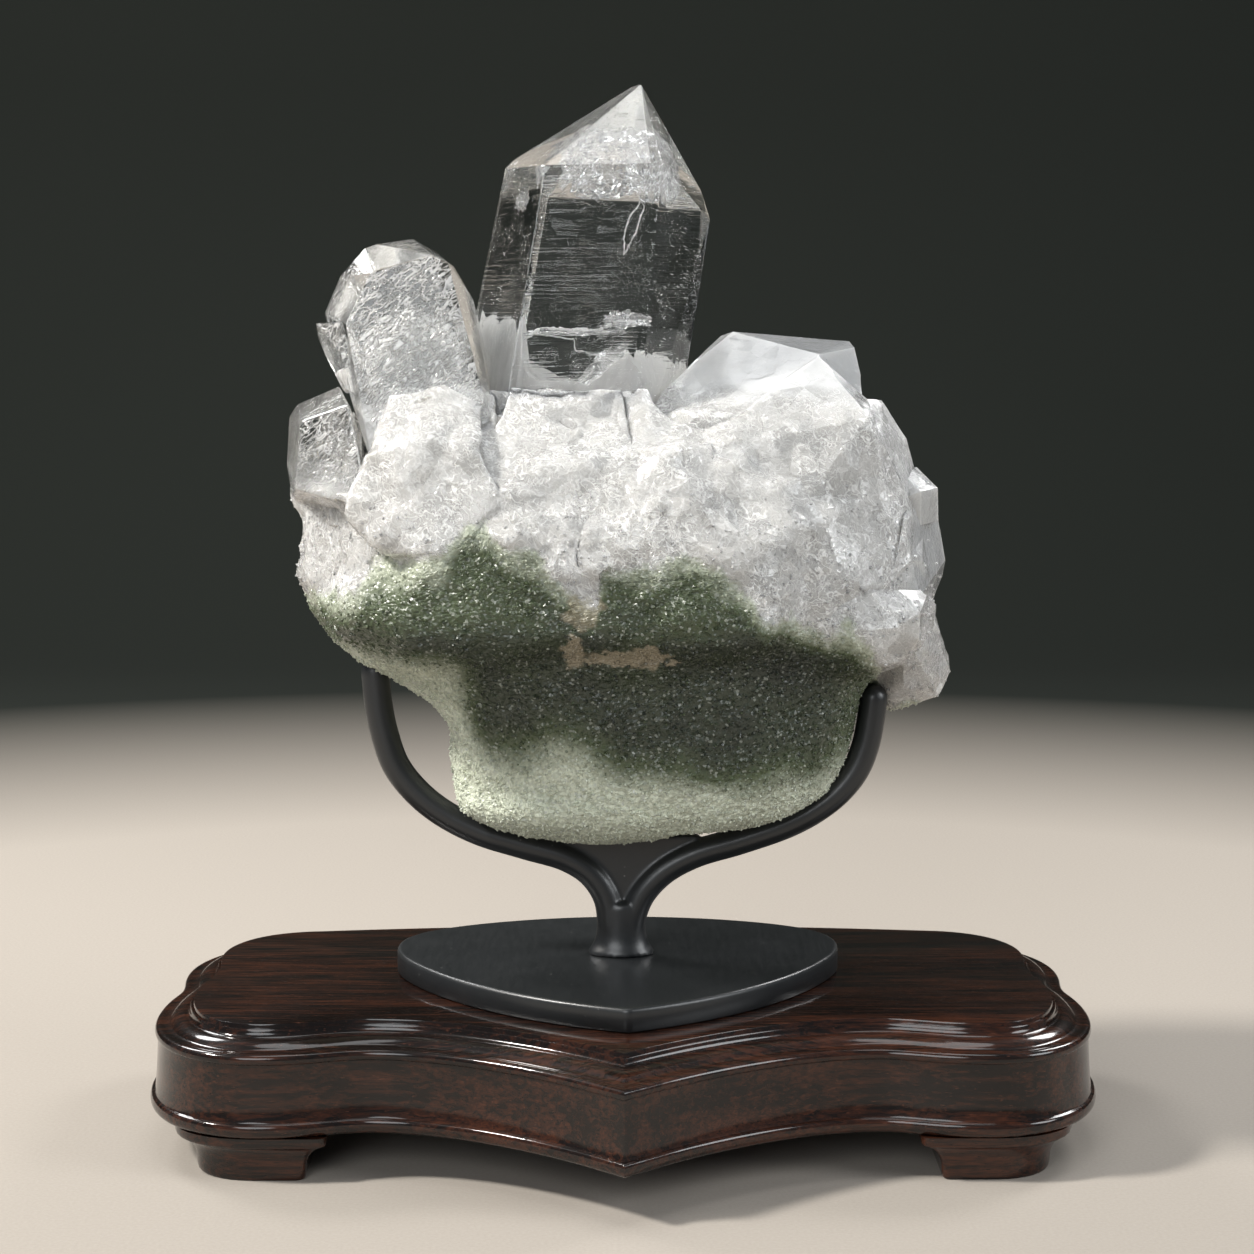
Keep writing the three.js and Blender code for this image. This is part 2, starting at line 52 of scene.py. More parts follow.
# Random values and uneven fields
def hashed(cells, seed):
    """A random value from 0 to 1 for each whole-number cell, mixed by products with large primes."""
    primes = [np.uint32(prime) for prime in (374761393, 668265263, 2246822519, 3266489917)]
    low_bits = 0xFFFFFF
    whole = cells.astype(np.int64).astype(np.uint32)
    mixed = np.uint32(seed * 9176 + 13) + sum(whole[..., k] * primes[k] for k in range(3))
    for shift, prime in ((15, primes[2]), (13, primes[3]), (16, np.uint32(1))):
        mixed = (mixed ^ (mixed >> np.uint32(shift))) * prime
    return (mixed & np.uint32(low_bits)) / low_bits


def hashed_vector(cells, seed):
    """Three random values from 0 to 1 for each cell."""
    return np.stack([hashed(cells, seed + k) for k in range(3)], axis=1)


def unit(vectors):
    """Vectors of length 1 that point the same way."""
    return vectors / np.maximum(np.linalg.norm(vectors, axis=-1, keepdims=True), 1e-9)


def soft_noise(points, size, seed=0):
    """Smooth uneven value from -1 to 1 with lumps of about the given size."""
    scaled = points / size
    base = np.floor(scaled)
    part = scaled - base
    part = part * part * (3 - 2 * part)
    total = np.zeros(len(points))
    for corner in itertools.product((0, 1), repeat=3):
        weight = np.prod(np.where(corner, part, 1 - part), axis=1)
        total += weight * hashed(base + corner, seed)
    return 2 * total - 1


def layered_noise(points, size, seed=0, layers=3):
    """Smooth noise with finer and weaker layers on top."""
    total = np.zeros(len(points))
    for layer in range(layers):
        total += soft_noise(points, size / 2**layer, seed + layer) / 2**layer
    return total / (2 - 2 ** (1 - layers))


def facet_noise(points, size, seed=0):
    """Height of small tilted flats, one for each uneven cell, from about -1 to 1."""
    scaled = points / size
    base = np.floor(scaled)
    nearest = np.full(len(points), np.inf)
    height = np.zeros(len(points))
    for offset in NEIGHBOURS:
        cell = base + offset
        away = scaled - cell - hashed_vector(cell, seed)
        distance = (away**2).sum(axis=1)
        tilt = hashed_vector(cell, seed + 3) - 0.5
        nearer = distance < nearest
        height = np.where(nearer, 2 * (away * tilt).sum(axis=1), height)
        nearest = np.where(nearer, distance, nearest)
    return height


def crystal_relief(points, size, seed=0):
    """Height of points and ridges with flat sides that grow out of uneven cells, from about -1 to 0."""
    flat_pairs, tallest = 4, 0.35
    scaled = points / size
    base = np.floor(scaled)
    height = np.full(len(points), -np.inf)
    for offset in NEIGHBOURS:
        cell = base + offset
        away = scaled - cell - hashed_vector(cell, seed)
        reach = np.zeros(len(points))
        for k in range(flat_pairs):
            side = unit(hashed_vector(cell, seed + 3 + 3 * k) - 0.5)
            reach = np.maximum(reach, np.abs((away * side).sum(axis=1)))
        height = np.maximum(height, tallest * hashed(cell, seed + 17) - reach)
    return height


def smooth_step(low, high, value):
    """Rises from 0 at low to 1 at high, or falls where high is the smaller one."""
    share = np.clip((value - low) / (high - low), 0, 1)
    return share * share * (3 - 2 * share)


def plateau(value, start, full, fading, end):
    """Rises from start to full and falls from fading to end."""
    return smooth_step(start, full, value) * smooth_step(end, fading, value)


def around(count):
    """Angles spread evenly over a full turn."""
    return np.arange(count) / count * 2 * math.pi


def read_off(curve, x):
    """The height of a curve of (x, z) corners at each x."""
    return np.interp(x, *np.array(curve).T)


# Meshes
def add_mesh(name, points, faces, material, smooth=True, crease=None, stage=False):
    """A mesh object from points in millimetres; crease is the angle in degrees that stays sharp."""
    mesh = bpy.data.meshes.new(name)
    mesh.from_pydata((np.asarray(points) * MM).tolist(), [], list(faces))
    return dressed(name, mesh, material, smooth, crease, stage)


def dressed(name, mesh, material, smooth=True, crease=None, stage=False):
    """The mesh as a named piece with its material, in the object's body or on the stage."""
    mesh.polygons.foreach_set("use_smooth", [smooth] * len(mesh.polygons))
    if crease is not None:
        mesh.set_sharp_from_angle(angle=math.radians(crease))
    mesh.materials.clear()
    mesh.materials.append(material)
    piece = bpy.data.objects.new(name, mesh)
    SCENE.collection.objects.link(piece)
    if stage:
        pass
    else:
        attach(piece, BODY)
    return piece


def loft(rings):
    """Points and faces of a closed skin over rings listed upwards, each anticlockwise from above."""
    rings = np.asarray(rings, float)
    levels, count = rings.shape[:2]
    points = rings.reshape(-1, 3)
    faces = []
    for level in range(levels - 1):
        for i in range(count):
            a = level * count + i
            b = level * count + (i + 1) % count
            faces.append((a, b, b + count, a + count))
    low = len(points)
    points = np.vstack([points, rings[0].mean(axis=0), rings[-1].mean(axis=0)])
    top = (levels - 1) * count
    for i in range(count):
        following = (i + 1) % count
        faces.append((low, following, i))
        faces.append((low + 1, top + i, top + following))
    return points, faces


def together(parts):
    """Several shapes as one list of points and one of faces."""
    points, faces = [], []
    for part_points, part_faces in parts:
        start = sum(len(p) for p in points)
        points.append(np.asarray(part_points))
        faces += [tuple(int(start + i) for i in face) for face in part_faces]
    return np.vstack(points), faces


def bezier(corners, steps):
    """Points of a quadratic or cubic Bezier curve, its start left out."""
    corners = np.asarray(corners, float)
    order = len(corners) - 1
    t = (np.arange(steps) + 1)[:, None] / steps
    return sum(
        math.comb(order, k) * t**k * (1 - t) ** (order - k) * corner for k, corner in enumerate(corners)
    )


def joined_curve(start, pieces, steps):
    """A path through Bezier pieces, each given by its control points and its end."""
    path = [np.array([start], float)]
    for piece in pieces:
        path.append(bezier([path[-1][-1], *piece], steps))
    return np.vstack(path)


def evenly(path, count):
    """A path's points spread evenly along it."""
    path = np.asarray(path, float)
    along = np.concatenate([[0], np.cumsum(np.linalg.norm(np.diff(path, axis=0), axis=1))])
    wanted = np.linspace(0, along[-1], count + 1)
    return np.stack([np.interp(wanted, along, path[:, k]) for k in range(path.shape[1])], axis=1)


def catmull(points, steps):
    """A smooth curve through all the points, with chord-length knots."""
    points = np.asarray(points, float)
    padded = np.vstack([2 * points[0] - points[1], points, 2 * points[-1] - points[-2]])
    knots = np.concatenate([[0], np.cumsum(np.sqrt(np.linalg.norm(np.diff(padded, axis=0), axis=1)))])
    curve = [points[:1]]
    for i in range(1, len(padded) - 2):
        t = np.linspace(knots[i], knots[i + 1], steps + 1)[1:, None]
        p = [padded[i + k] for k in (-1, 0, 1, 2)]
        k = [knots[i + n] for n in (-1, 0, 1, 2)]
        span = lambda a, b, ka, kb: (kb - t) / (kb - ka) * a + (t - ka) / (kb - ka) * b
        first = [span(p[n], p[n + 1], k[n], k[n + 1]) for n in range(3)]
        second = [span(first[n], first[n + 1], k[n], k[n + 2]) for n in range(2)]
        curve.append(span(second[0], second[1], k[1], k[2]))
    return np.vstack(curve)


def mirrored(half):
    """A whole outline from its right half, which starts and ends on the middle line."""
    return np.vstack([half, half[1:-1][::-1] * [-1, 1]])


def outset(outline, distance):
    """The outline moved outward, with a mitre at its corners."""
    before = unit(outline - np.roll(outline, 1, axis=0))
    after = unit(np.roll(outline, -1, axis=0) - outline)
    mean = unit(before + after)
    reach = distance / (mean * after).sum(axis=1)
    return outline + np.stack([mean[:, 1], -mean[:, 0]], axis=1) * reach[:, None]


def at_height(outline, z):
    """A flat outline as a ring at one height."""
    return np.column_stack([outline, np.full(len(outline), z)])


# Materials
class Look:
    """One material's nodes, with places in millimetres."""

    def __init__(self, name):
        self.material = bpy.data.materials.new(name)
        self.material.use_nodes = True
        self.nodes = self.material.node_tree.nodes
        self.links = self.material.node_tree.links
        self.shader = self.nodes["Principled BSDF"]
        coordinates = self.node("TexCoord", {}).outputs["Object"]
        self.place = self.scaled(coordinates, (1 / MM, 1 / MM, 1 / MM))

    def node(self, kind, inputs, **settings):
        """A new node; each input is given by its name or number, as a value or another node's output."""
        made = self.nodes.new("ShaderNode" + kind)
        for name, value in settings.items():
            setattr(made, name, value)
        for socket, value in inputs.items():
            self.feed(made.inputs[socket], value)
        return made

    def feed(self, socket, value):
        if isinstance(value, bpy.types.NodeSocket):
            self.links.new(value, socket)
        elif isinstance(value, (int, float)) or not hasattr(socket.default_value, "__len__"):
            socket.default_value = value
        else:
            wanted = len(socket.default_value)
            socket.default_value = (tuple(value) + (1.0,))[:wanted]

    def set(self, **values):
        for name, value in values.items():
            self.feed(self.shader.inputs[name.replace("_", " ")], value)
        return self

    def vector(self, operation, a, b):
        return self.node("VectorMath", {0: a, 1: b}, operation=operation)

    def scaled(self, vector, factors):
        return self.vector("MULTIPLY", vector, factors).outputs[0]

    def stretched(self, *factors):
        """Places for a texture that is drawn out where the factor is small."""
        return self.scaled(self.place, factors)

    def turned(self, degrees):
        """Places turned about X, Y and Z."""
        inputs = {"Vector": self.place, "Rotation": [math.radians(angle) for angle in degrees]}
        return self.node("VectorRotate", inputs, rotation_type="EULER_XYZ").outputs[0]

    def noise(self, size, detail=2.0, rough=0.5, bend=0.0, place=None):
        inputs = {"Vector": place or self.place, "Scale": 1 / size, "Detail": detail}
        return self.node("TexNoise", {**inputs, "Roughness": rough, "Distortion": bend}).outputs["Fac"]

    def cells(self, size):
        return self.node("TexVoronoi", {"Vector": self.place, "Scale": 1 / size})

    def value(self, operation, a, b=0.0):
        return self.node("Math", {0: a, 1: b}, operation=operation).outputs[0]

    def times(self, *values):
        """The product of all the values."""
        product = values[0]
        for value in values[1:]:
            product = self.value("MULTIPLY", product, value)
        return product

    def part(self, vector, axis):
        return self.node("SeparateXYZ", {0: vector}).outputs[axis]

    def ramp(self, value, low, high, to_low=0.0, to_high=1.0):
        return self.node("MapRange", dict(enumerate((value, low, high, to_low, to_high)))).outputs[0]

    def blend(self, share, a, b):
        return self.node("Mix", {0: share, 6: a, 7: b}, data_type="RGBA").outputs[2]

    def attribute(self, name):
        return self.node("Attribute", {}, attribute_name=name).outputs["Fac"]

    def relief(self, height, depth, normal=None):
        """A bump; depth is how many millimetres a height of 1 stands up."""
        inputs = {"Strength": 1.0, "Distance": depth * MM, "Height": height}
        if normal is not None:
            inputs["Normal"] = normal
        return self.node("Bump", inputs).outputs[0]

    def worms(self, size, width, bend=1.5, place=None, level=0.5):
        """Thin curly lines, 1 on the line and 0 away from it. Another level gives lines beside these."""
        field = self.noise(size, detail=1.0, bend=bend, place=place)
        away = self.value("ABSOLUTE", self.value("SUBTRACT", field, level))
        return self.ramp(away, 0.0, width, 1.0, 0.0)

    def tilted(self, size):
        """Height of small flats that lean every way, for facets that catch the light one by one."""
        cell = self.cells(size)
        centred = self.vector("SUBTRACT", cell.outputs["Color"], (0.5, 0.5, 0.5))
        away = self.vector("SUBTRACT", self.place, cell.outputs["Position"])
        return self.vector("DOT_PRODUCT", centred.outputs[0], away.outputs[0]).outputs["Value"], cell

    def absorbing(self, colour, density):
        volume = self.node("VolumeAbsorption", {"Color": colour, "Density": density})
        self.links.new(volume.outputs[0], self.nodes["Material Output"].inputs["Volume"])


QUARTZ_IOR = 1.544


def black_steel():
    """Satin black powder coat whose base colour is tinted a little blue as a painted reflection of the sky,
    with fine grain, dust and rubbed spots.
    """
    look = Look("black_steel")
    cloud = look.noise(14, detail=4)
    grain = look.noise(0.35, detail=2)
    dust = look.cells(2.6).outputs["Distance"]
    speck = look.ramp(dust, 0.05, 0.09, 1.0, 0.0)
    rare = look.ramp(look.noise(9, detail=3), 0.56, 0.62)
    # The bluish tint of these two blacks is a painted reflection of the sky; the cloud between them is
    # uneven tone.
    colour = look.blend(cloud, (0.0090, 0.0103, 0.0113), (0.0165, 0.0182, 0.0196))
    colour = look.blend(look.times(speck, rare, 0.55), colour, (0.2, 0.2, 0.19))
    streak = look.noise(1.2, detail=3, place=look.stretched(1.0, 0.12, 1.0))
    uneven = look.value("ADD", look.times(cloud, 0.6), streak)
    look.set(Base_Color=colour, Roughness=look.ramp(uneven, 0.4, 1.1, 0.3, 0.42))
    look.set(Normal=look.relief(grain, 0.012))
    look.set(Specular_IOR_Level=0.62, Coat_Weight=0.12, Coat_Roughness=0.25)
    return look.material


def dark_wood():
    """Dark red-brown wood under lacquer: long streaks along X, short pores and a faintly wavy polish."""
    look = Look("dark_wood")
    streak = look.noise(0.5, detail=4, rough=0.6, bend=0.5, place=look.stretched(0.03, 0.5, 0.5))
    wave = look.noise(2.4, detail=2, bend=0.8, place=look.stretched(0.02, 0.2, 0.2))
    fine = look.noise(0.14, detail=3, place=look.stretched(0.05, 0.5, 0.5))
    tone = look.value("ADD", look.times(streak, 0.75), look.times(wave, 0.55))
    colour = look.blend(look.ramp(tone, 0.58, 0.80), (0.0040, 0.0025, 0.0021), (0.060, 0.0190, 0.0092))
    colour = look.blend(look.ramp(fine, 0.42, 0.62, 0.0, 0.65), colour, (0.010, 0.0055, 0.0045))
    pore = look.ramp(look.noise(0.2, detail=2, place=look.stretched(0.1, 0.9, 0.9)), 0.63, 0.7)
    colour = look.blend(look.times(pore, 0.8), colour, (0.003, 0.002, 0.002))
    flecks = look.noise(0.26, detail=2, place=look.stretched(0.14, 0.8, 0.8))
    colour = look.blend(look.ramp(flecks, 0.66, 0.74, 0.0, 0.45), colour, (0.13, 0.048, 0.027))
    grain = look.relief(look.value("SUBTRACT", look.times(fine, 0.3), pore), 0.03)
    look.set(Base_Color=colour, Roughness=look.ramp(look.noise(8, detail=3), 0.3, 0.7, 0.3, 0.42))
    look.set(Normal=look.relief(look.noise(5, detail=2), 0.05, normal=grain))
    look.set(Specular_IOR_Level=0.05, Coat_Weight=0.9, Coat_Roughness=0.1)
    look.set(Coat_Normal=look.relief(look.noise(6, detail=2), 0.06))
    return look.material


def etched_ridges_with_painted_light(look, open_share):
    """Masks of the bright curly lines, which are small ridges painted white as glints, and of the dark ones
    beside them, which are painted shade, where the surface is open.
    """
    slant = look.scaled(look.turned((0, -35, 0)), (0.7, 0.8, 1.0))
    large = {"size": 1.7, "bend": 0.8, "place": slant}
    small = {"size": 1.0, "bend": 0.6}
    fine = look.times(look.worms(width=0.05, **small), 0.65)
    ridge_and_painted_glint = look.value("MAXIMUM", look.worms(width=0.042, **large), fine)
    painted_ridge_shade = look.value(
        "MAXIMUM",
        look.worms(width=0.03, level=0.575, **large),
        look.worms(width=0.03, level=0.58, **small),
    )
    return look.times(ridge_and_painted_glint, open_share), look.times(painted_ridge_shade, open_share)


def milk_colour(look, facet_shade, ridge_and_painted_glint, painted_ridge_shade):
    """Whites and greys of the milky quartz, with painted glints along the etched ridges and painted shade
    beside them, smoother where it is polished.
    """
    tone = look.value("ADD", facet_shade, look.noise(3.5, detail=3))
    milk = look.blend(look.ramp(tone, 0.4, 1.5), (0.455, 0.446, 0.430), (0.55, 0.541, 0.525))
    # Polished faces are painted an even, faintly bluish grey-white, a painted reflection of the sky and
    # light on the top facets.
    milk = look.blend(look.times(look.attribute("polished"), 0.6), milk, (0.52, 0.53, 0.54))
    # Painted shade in dark lines beside the etched ridges, then painted glints in white along the ridges,
    # which are also a small bump.
    milk = look.blend(look.times(painted_ridge_shade, 0.5), milk, (0.24, 0.235, 0.225))
    return look.blend(look.times(ridge_and_painted_glint, 0.85), milk, (0.97, 0.965, 0.95))


def druse_colour(look, grain_shade):
    """Greens of the skin of tiny crystals, pale at the foot and tan where it is torn, with painted glints
    on single grains; its dark and pale greens are partly painted shade and light.
    """
    pale = look.attribute("pale")
    # A low pale share gives the dark trunk colour, partly painted shade; a high one gives pale green,
    # partly painted light.
    druse = look.blend(look.ramp(pale, 0.02, 0.38), (0.024, 0.029, 0.024), (0.088, 0.114, 0.055))
    druse = look.blend(look.ramp(pale, 0.38, 0.9), druse, (0.74, 0.78, 0.63))
    druse = look.blend(look.ramp(grain_shade, 0.0, 1.0, 0.0, 0.4), druse, (0.05, 0.060, 0.045))
    # Painted glints: a few grains turn near white, more of them where the colour is painted paler.
    painted_grain_glint = look.times(look.ramp(grain_shade, 0.93, 0.96), look.ramp(pale, 0.0, 1.0, 0.25, 0.7))
    druse = look.blend(painted_grain_glint, druse, (0.62, 0.65, 0.58))
    return look.blend(look.attribute("tan"), druse, (0.36, 0.31, 0.225))


def crystal_mass():
    """Milky quartz with curly etched lines, painted white as glints with painted shade beside them, that
    turns, below, into a skin of tiny green-grey crystals with painted light and shade.
    """
    look = Look("crystal_mass")
    grain_height, grain = look.tilted(0.5)
    grain_shade = look.part(grain.outputs["Color"], 0)
    broken = look.times(look.value("SUBTRACT", grain_shade, 0.5), 0.35)
    green = look.ramp(look.value("ADD", look.attribute("chlorite"), broken), 0.36, 0.84)
    milky = look.value("SUBTRACT", 1.0, green)
    rough = look.ramp(look.attribute("polished"), 0.2, 0.9, 1.0, 0.06)
    patchy = look.ramp(look.noise(9, detail=2), 0.4, 0.62, 0.35, 1.0)
    ridge_and_painted_glint, painted_ridge_shade = etched_ridges_with_painted_light(look, look.times(rough, patchy))
    facet_height, facets = look.tilted(5.2)
    milk = milk_colour(look, look.part(facets.outputs["Color"], 1), ridge_and_painted_glint, painted_ridge_shade)
    bumps = look.relief(look.times(facet_height, milky, rough), 0.5)
    bumps = look.relief(look.times(ridge_and_painted_glint, milky), 0.12, normal=bumps)
    ripple = look.times(look.noise(1.5, detail=2, bend=1.4), rough, milky)
    glaze = look.relief(ripple, 2.2, normal=bumps)
    bumps = look.relief(look.times(grain_height, green), 0.55, normal=bumps)
    look.set(Base_Color=look.blend(green, milk, druse_colour(look, grain_shade)), Normal=bumps)
    look.set(IOR=QUARTZ_IOR, Roughness=look.ramp(green, 0.0, 1.0, 0.12, 0.32))
    look.set(Subsurface_Weight=look.ramp(green, 0.0, 1.0, 1.0, 0.1))
    look.set(Subsurface_Scale=1.0, Subsurface_Radius=(0.0034, 0.0033, 0.0031))
    look.set(Coat_Weight=look.ramp(green, 0.0, 0.6, 1.0, 0.0), Coat_Roughness=0.04, Coat_Normal=glaze)
    return look.material


def clear_quartz():
    """Water-clear quartz with fine growth lines across its sides and a few scars."""
    look = Look("clear_quartz")
    look.set(Base_Color=(1, 1, 1), Transmission_Weight=1.0, IOR=QUARTZ_IOR, Roughness=0.0)
    across = look.noise(0.5, detail=3, place=look.stretched(0.035, 0.035, 1.0))
    patch = look.ramp(look.noise(9, detail=2), 0.42, 0.62)
    grooves = look.relief(look.times(look.ramp(across, 0.5, 0.72), patch), 0.05)
    scars = look.times(look.worms(1.4, 0.02, bend=1.0), look.ramp(look.noise(6, detail=1), 0.5, 0.64))
    look.set(Normal=look.relief(scars, 0.04, normal=grooves))
    look.absorbing((0.93, 0.95, 0.9), 6.0)
    return look.material


def frosted_quartz(name, milky_below):
    """Quartz that lets light through between short etched lines, and turns milky at its foot."""
    look = Look(name)
    stroke = look.scaled(look.turned((0, 40, 0)), (0.45, 0.8, 1.1))
    lines = look.worms(1.5, 0.055, bend=0.6, place=stroke)
    fine = look.times(look.worms(0.85, 0.06, bend=0.5, place=stroke), 0.75)
    gaps = look.ramp(look.noise(6, detail=3), 0.38, 0.56, 0.3, 1.0)
    mask = look.times(look.value("MAXIMUM", lines, fine), gaps, look.attribute("etched"))
    cloud = look.times(look.value("SUBTRACT", look.noise(5, detail=3), 0.5), 22.0)
    height = look.value("ADD", look.part(look.place, 2), cloud)
    foot = look.ramp(height, milky_below - 6, milky_below + 6, 1.0, 0.0)
    white = look.value("MAXIMUM", mask, foot)
    look.set(Base_Color=look.blend(white, (0.97, 0.975, 0.97), (0.72, 0.715, 0.70)), IOR=QUARTZ_IOR)
    look.set(Transmission_Weight=look.ramp(white, 0.0, 1.0, 1.0, 0.12), Roughness=0.05)
    look.set(Normal=look.relief(mask, 0.12))
    look.absorbing((0.93, 0.94, 0.91), 6.0)
    return look.material


def milky_root():
    """The cloudy root inside the clear point, with feathery streaks."""
    look = Look("milky_root")
    feather = look.scaled(look.turned((0, -14, 0)), (1.0, 1.0, 0.25))
    streak = look.noise(1.4, detail=4, bend=0.6, place=feather)
    cloud = look.noise(5, detail=3)
    colour = look.blend(look.ramp(streak, 0.35, 0.7), (0.64, 0.636, 0.624), (0.76, 0.756, 0.745))
    colour = look.blend(look.ramp(cloud, 0.4, 0.7, 0.0, 0.4), colour, (0.70, 0.695, 0.685))
    look.set(Base_Color=colour, Roughness=0.4, Normal=look.relief(streak, 0.05))
    look.set(Subsurface_Weight=0.5, Subsurface_Scale=1.0, Subsurface_Radius=(0.004, 0.004, 0.0038))
    return look.material


def fracture_sheen():
    """Healed cracks: gaps in the quartz that mirror the light where it meets them at a low angle."""
    look = Look("fracture_sheen")
    facet, _ = look.tilted(2.1)
    look.set(Base_Color=(1, 1, 1), Transmission_Weight=0.85, Roughness=0.05, IOR=1 / QUARTZ_IOR)
    look.set(Normal=look.relief(facet, 0.5))
    return look.material


def white_thread():
    """Chalky white threads and specks."""
    look = Look("white_thread")
    shade = look.noise(0.8, detail=2)
    look.set(Base_Color=look.blend(shade, (0.78, 0.79, 0.8), (0.95, 0.95, 0.94)), Roughness=0.35)
    return look.material


def floor_paper():
    """Seamless studio paper: a pale floor that fades to dark grey far out and up the wall."""
    look = Look("studio_paper")
    pale_reach, dark_from = 340.0, 640.0
    away = look.vector("LENGTH", look.place, (0, 0, 0)).outputs["Value"]
    fibre = look.noise(0.7, detail=3)
    share = look.ramp(away, pale_reach, dark_from)
    paper = look.blend(look.ramp(fibre, 0.3, 0.7), (0.34, 0.305, 0.268), (0.37, 0.333, 0.292))
    colour = look.blend(share, paper, (0.0150, 0.0178, 0.0148))
    look.set(Base_Color=colour, Roughness=0.85, Specular_IOR_Level=0.2, Normal=look.relief(fibre, 0.03))
    return look.material


# Wooden base
PANEL_TOP = 29.8
FOOT_HEIGHT = 9.0


def panel_outline():
    """The outline of the flat top inside the moulding, with its pointed front."""
    half = joined_curve(
        (0, -49.8),
        [
            [(13.4, -37.6), (33.4, -25.5), (49.5, -25.5)],
            [(58.5, -25.5), (62, -29.3), (71, -29.3)],
            [(80.7, -29.3), (87.4, -20.5), (87.4, -5)],
            [(87.4, 5), (85.6, 7), (85.6, 13)],
            [(85.6, 19), (86.6, 21), (86.6, 26.5)],
            [(86.6, 37), (80.6, 47), (67.5, 47.7)],
            [(45, 51), (20, 52.9), (0, 52.9)],
        ],
        60,
    )
    return mirrored(evenly(half, 130))


def moulded_edge():
    """How far the edge stands out from the panel, and its height, from the underside up to the rim."""
    bead = [[(9.3, FOOT_HEIGHT), (9.35, 10.5)], [(9.35, 11.9), (8.75, 12.0)]]
    bottom_bead = joined_curve((7.4, FOOT_HEIGHT), bead, 6)
    fascia = [(8.45, 12.15), (8.3, 12.6), (8.0, 16.0), (7.75, 20.0), (7.6, 23.2)]
    shoulder = joined_curve((7.65, 23.5), [[(8.25, 23.7), (8.15, 24.6)], [(8.05, 25.6), (6.9, 25.65)]], 6)
    slope = joined_curve((6.6, 25.6), [[(5.3, 25.6), (4.9, 26.1)], [(3.6, 27.3), (1.9, 27.35)]], 7)
    cove = joined_curve((1.75, 27.3), [[(1.1, 27.5), (1.0, 28.7)]], 5)
    groove = [(0.92, 28.85), (0.6, 28.85), (0.45, 28.7), (0.38, 28.85)]
    rim = [(0.36, 29.4), (0.25, 29.7), (0.0, PANEL_TOP)]
    return np.vstack([bottom_bead, fascia, shoulder, slope, cove, groove, rim])


def wooden_base(material):
    outline = panel_outline()
    rings = [at_height(outset(outline, out), z) for out, z in moulded_edge()]
    points, faces = loft(rings)
    base = add_mesh("base_body", points, faces, material, crease=38)
    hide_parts("wood_base")


# Bracket feet: how far the side stands out from the sole, and its height
FOOT_SPREAD = [
    (0, 0), (0.35, 0.25), (0.5, 0.7), (0.8, 3.4), (1.6, 5.2), (3.2, 6.6), (4.55, 7.2), (4.8, 7.7),
    (4.8, FOOT_HEIGHT),
]


def foot_plan():
    """A foot's outline from -1 to 1 each way, round on the side that faces out."""
    corners = joined_curve(
        (-1, -0.86),
        [
            [(-1, -1), (-0.86, -1)],
            [(-0.5, -1), (-0.1, -1)],
            [(0.55, -1), (1, -0.6), (1, 0)],
            [(1, 0.6), (0.7, 1), (0.2, 1)],
            [(-0.4, 1), (-0.86, 1)],
            [(-1, 1), (-1, 0.86)],
            [(-1, 0), (-1, -0.86)],
        ],
        9,
    )
    return corners[:-1]


def bracket_foot(name, outward, middle, material):
    half_width, half_depth, depth_share = 10.8, 11.5, 0.45
    plan = foot_plan()
    if outward < 0:
        plan = (plan * [-1, 1])[::-1]
    rings = []
    for spread, z in catmull(FOOT_SPREAD, 3):
        half_sizes = [half_width + spread, half_depth + depth_share * spread]
        rings.append(at_height(plan * half_sizes + middle, z))
    points, faces = loft(rings)
    foot = add_mesh(name + "_block", points, faces, material, crease=40)
    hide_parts(name)


def four_feet(material):
    from_middle, front_y, back_y = 73.6, -24.0, 40.5
    for side, outward in (("left", -1), ("right", 1)):
        for end, y in (("front", front_y), ("back", back_y)):
            bracket_foot(f"foot_{end}_{side}", outward, (outward * from_middle, y), material)


# Metal plate and fork
PLATE_TOP = 34.8
ROD_RADIUS = 2.95
STEM_X = -1.25


def metal_plate(material):
    half = joined_curve(
        (0, -44.4),
        [
            [(15, -38.6), (32, -27), (42.5, -7)],
            [(47.6, 2), (48.6, 12), (43.5, 19)],
            [(37, 27.6), (17, 34.2), (0, 34.2)],
        ],
        60,
    )
    outline = mirrored(evenly(half, 110))
    edge = [(-0.35, 29.9), (0, 30.2), (0, 33.9), (-0.08, 34.3), (-0.3, 34.62), (-0.62, 34.76)]
    edge.append((-1.1, PLATE_TOP))
    points, faces = loft([at_height(outset(outline, out), z) for out, z in edge])
    turn = math.radians(2)
    spin = np.array([[math.cos(turn), -math.sin(turn), 0], [math.sin(turn), math.cos(turn), 0], [0, 0, 1]])
    points = points @ spin.T + [-1.6, 0, 0] + HOLDER
    plate = add_mesh("plate_top", points, faces, material, crease=50)
    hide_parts("stand_plate")


LEFT_ROD = [
    (-52.2, 94.6), (-51.5, 87), (-50.2, 80.8), (-48, 74.7), (-43.9, 69.3), (-38.6, 64.9), (-31, 60.9),
    (-21.2, 57.8), (-12.6, 55.2), (-7.4, 51.8), (-4.2, 46.8), (-3.35, 41), (-3.35, 35.1),
]
RIGHT_ROD = [
    (51.2, 89), (50.7, 84.5), (49.6, 78.8), (47.6, 73.8), (44.2, 69.4), (39.5, 65.6), (33.4, 62.3),
    (23.5, 58.8), (14, 55.9), (7.4, 52.2), (2.8, 47), (0.85, 41), (0.85, 35.1),
]
WEB_OUTLINE = [(-1.2, 46.5), (8, 52), (16, 57.4), (14.8, 60.2), (-16.2, 60.2), (-17.5, 57.4), (-10, 52)]


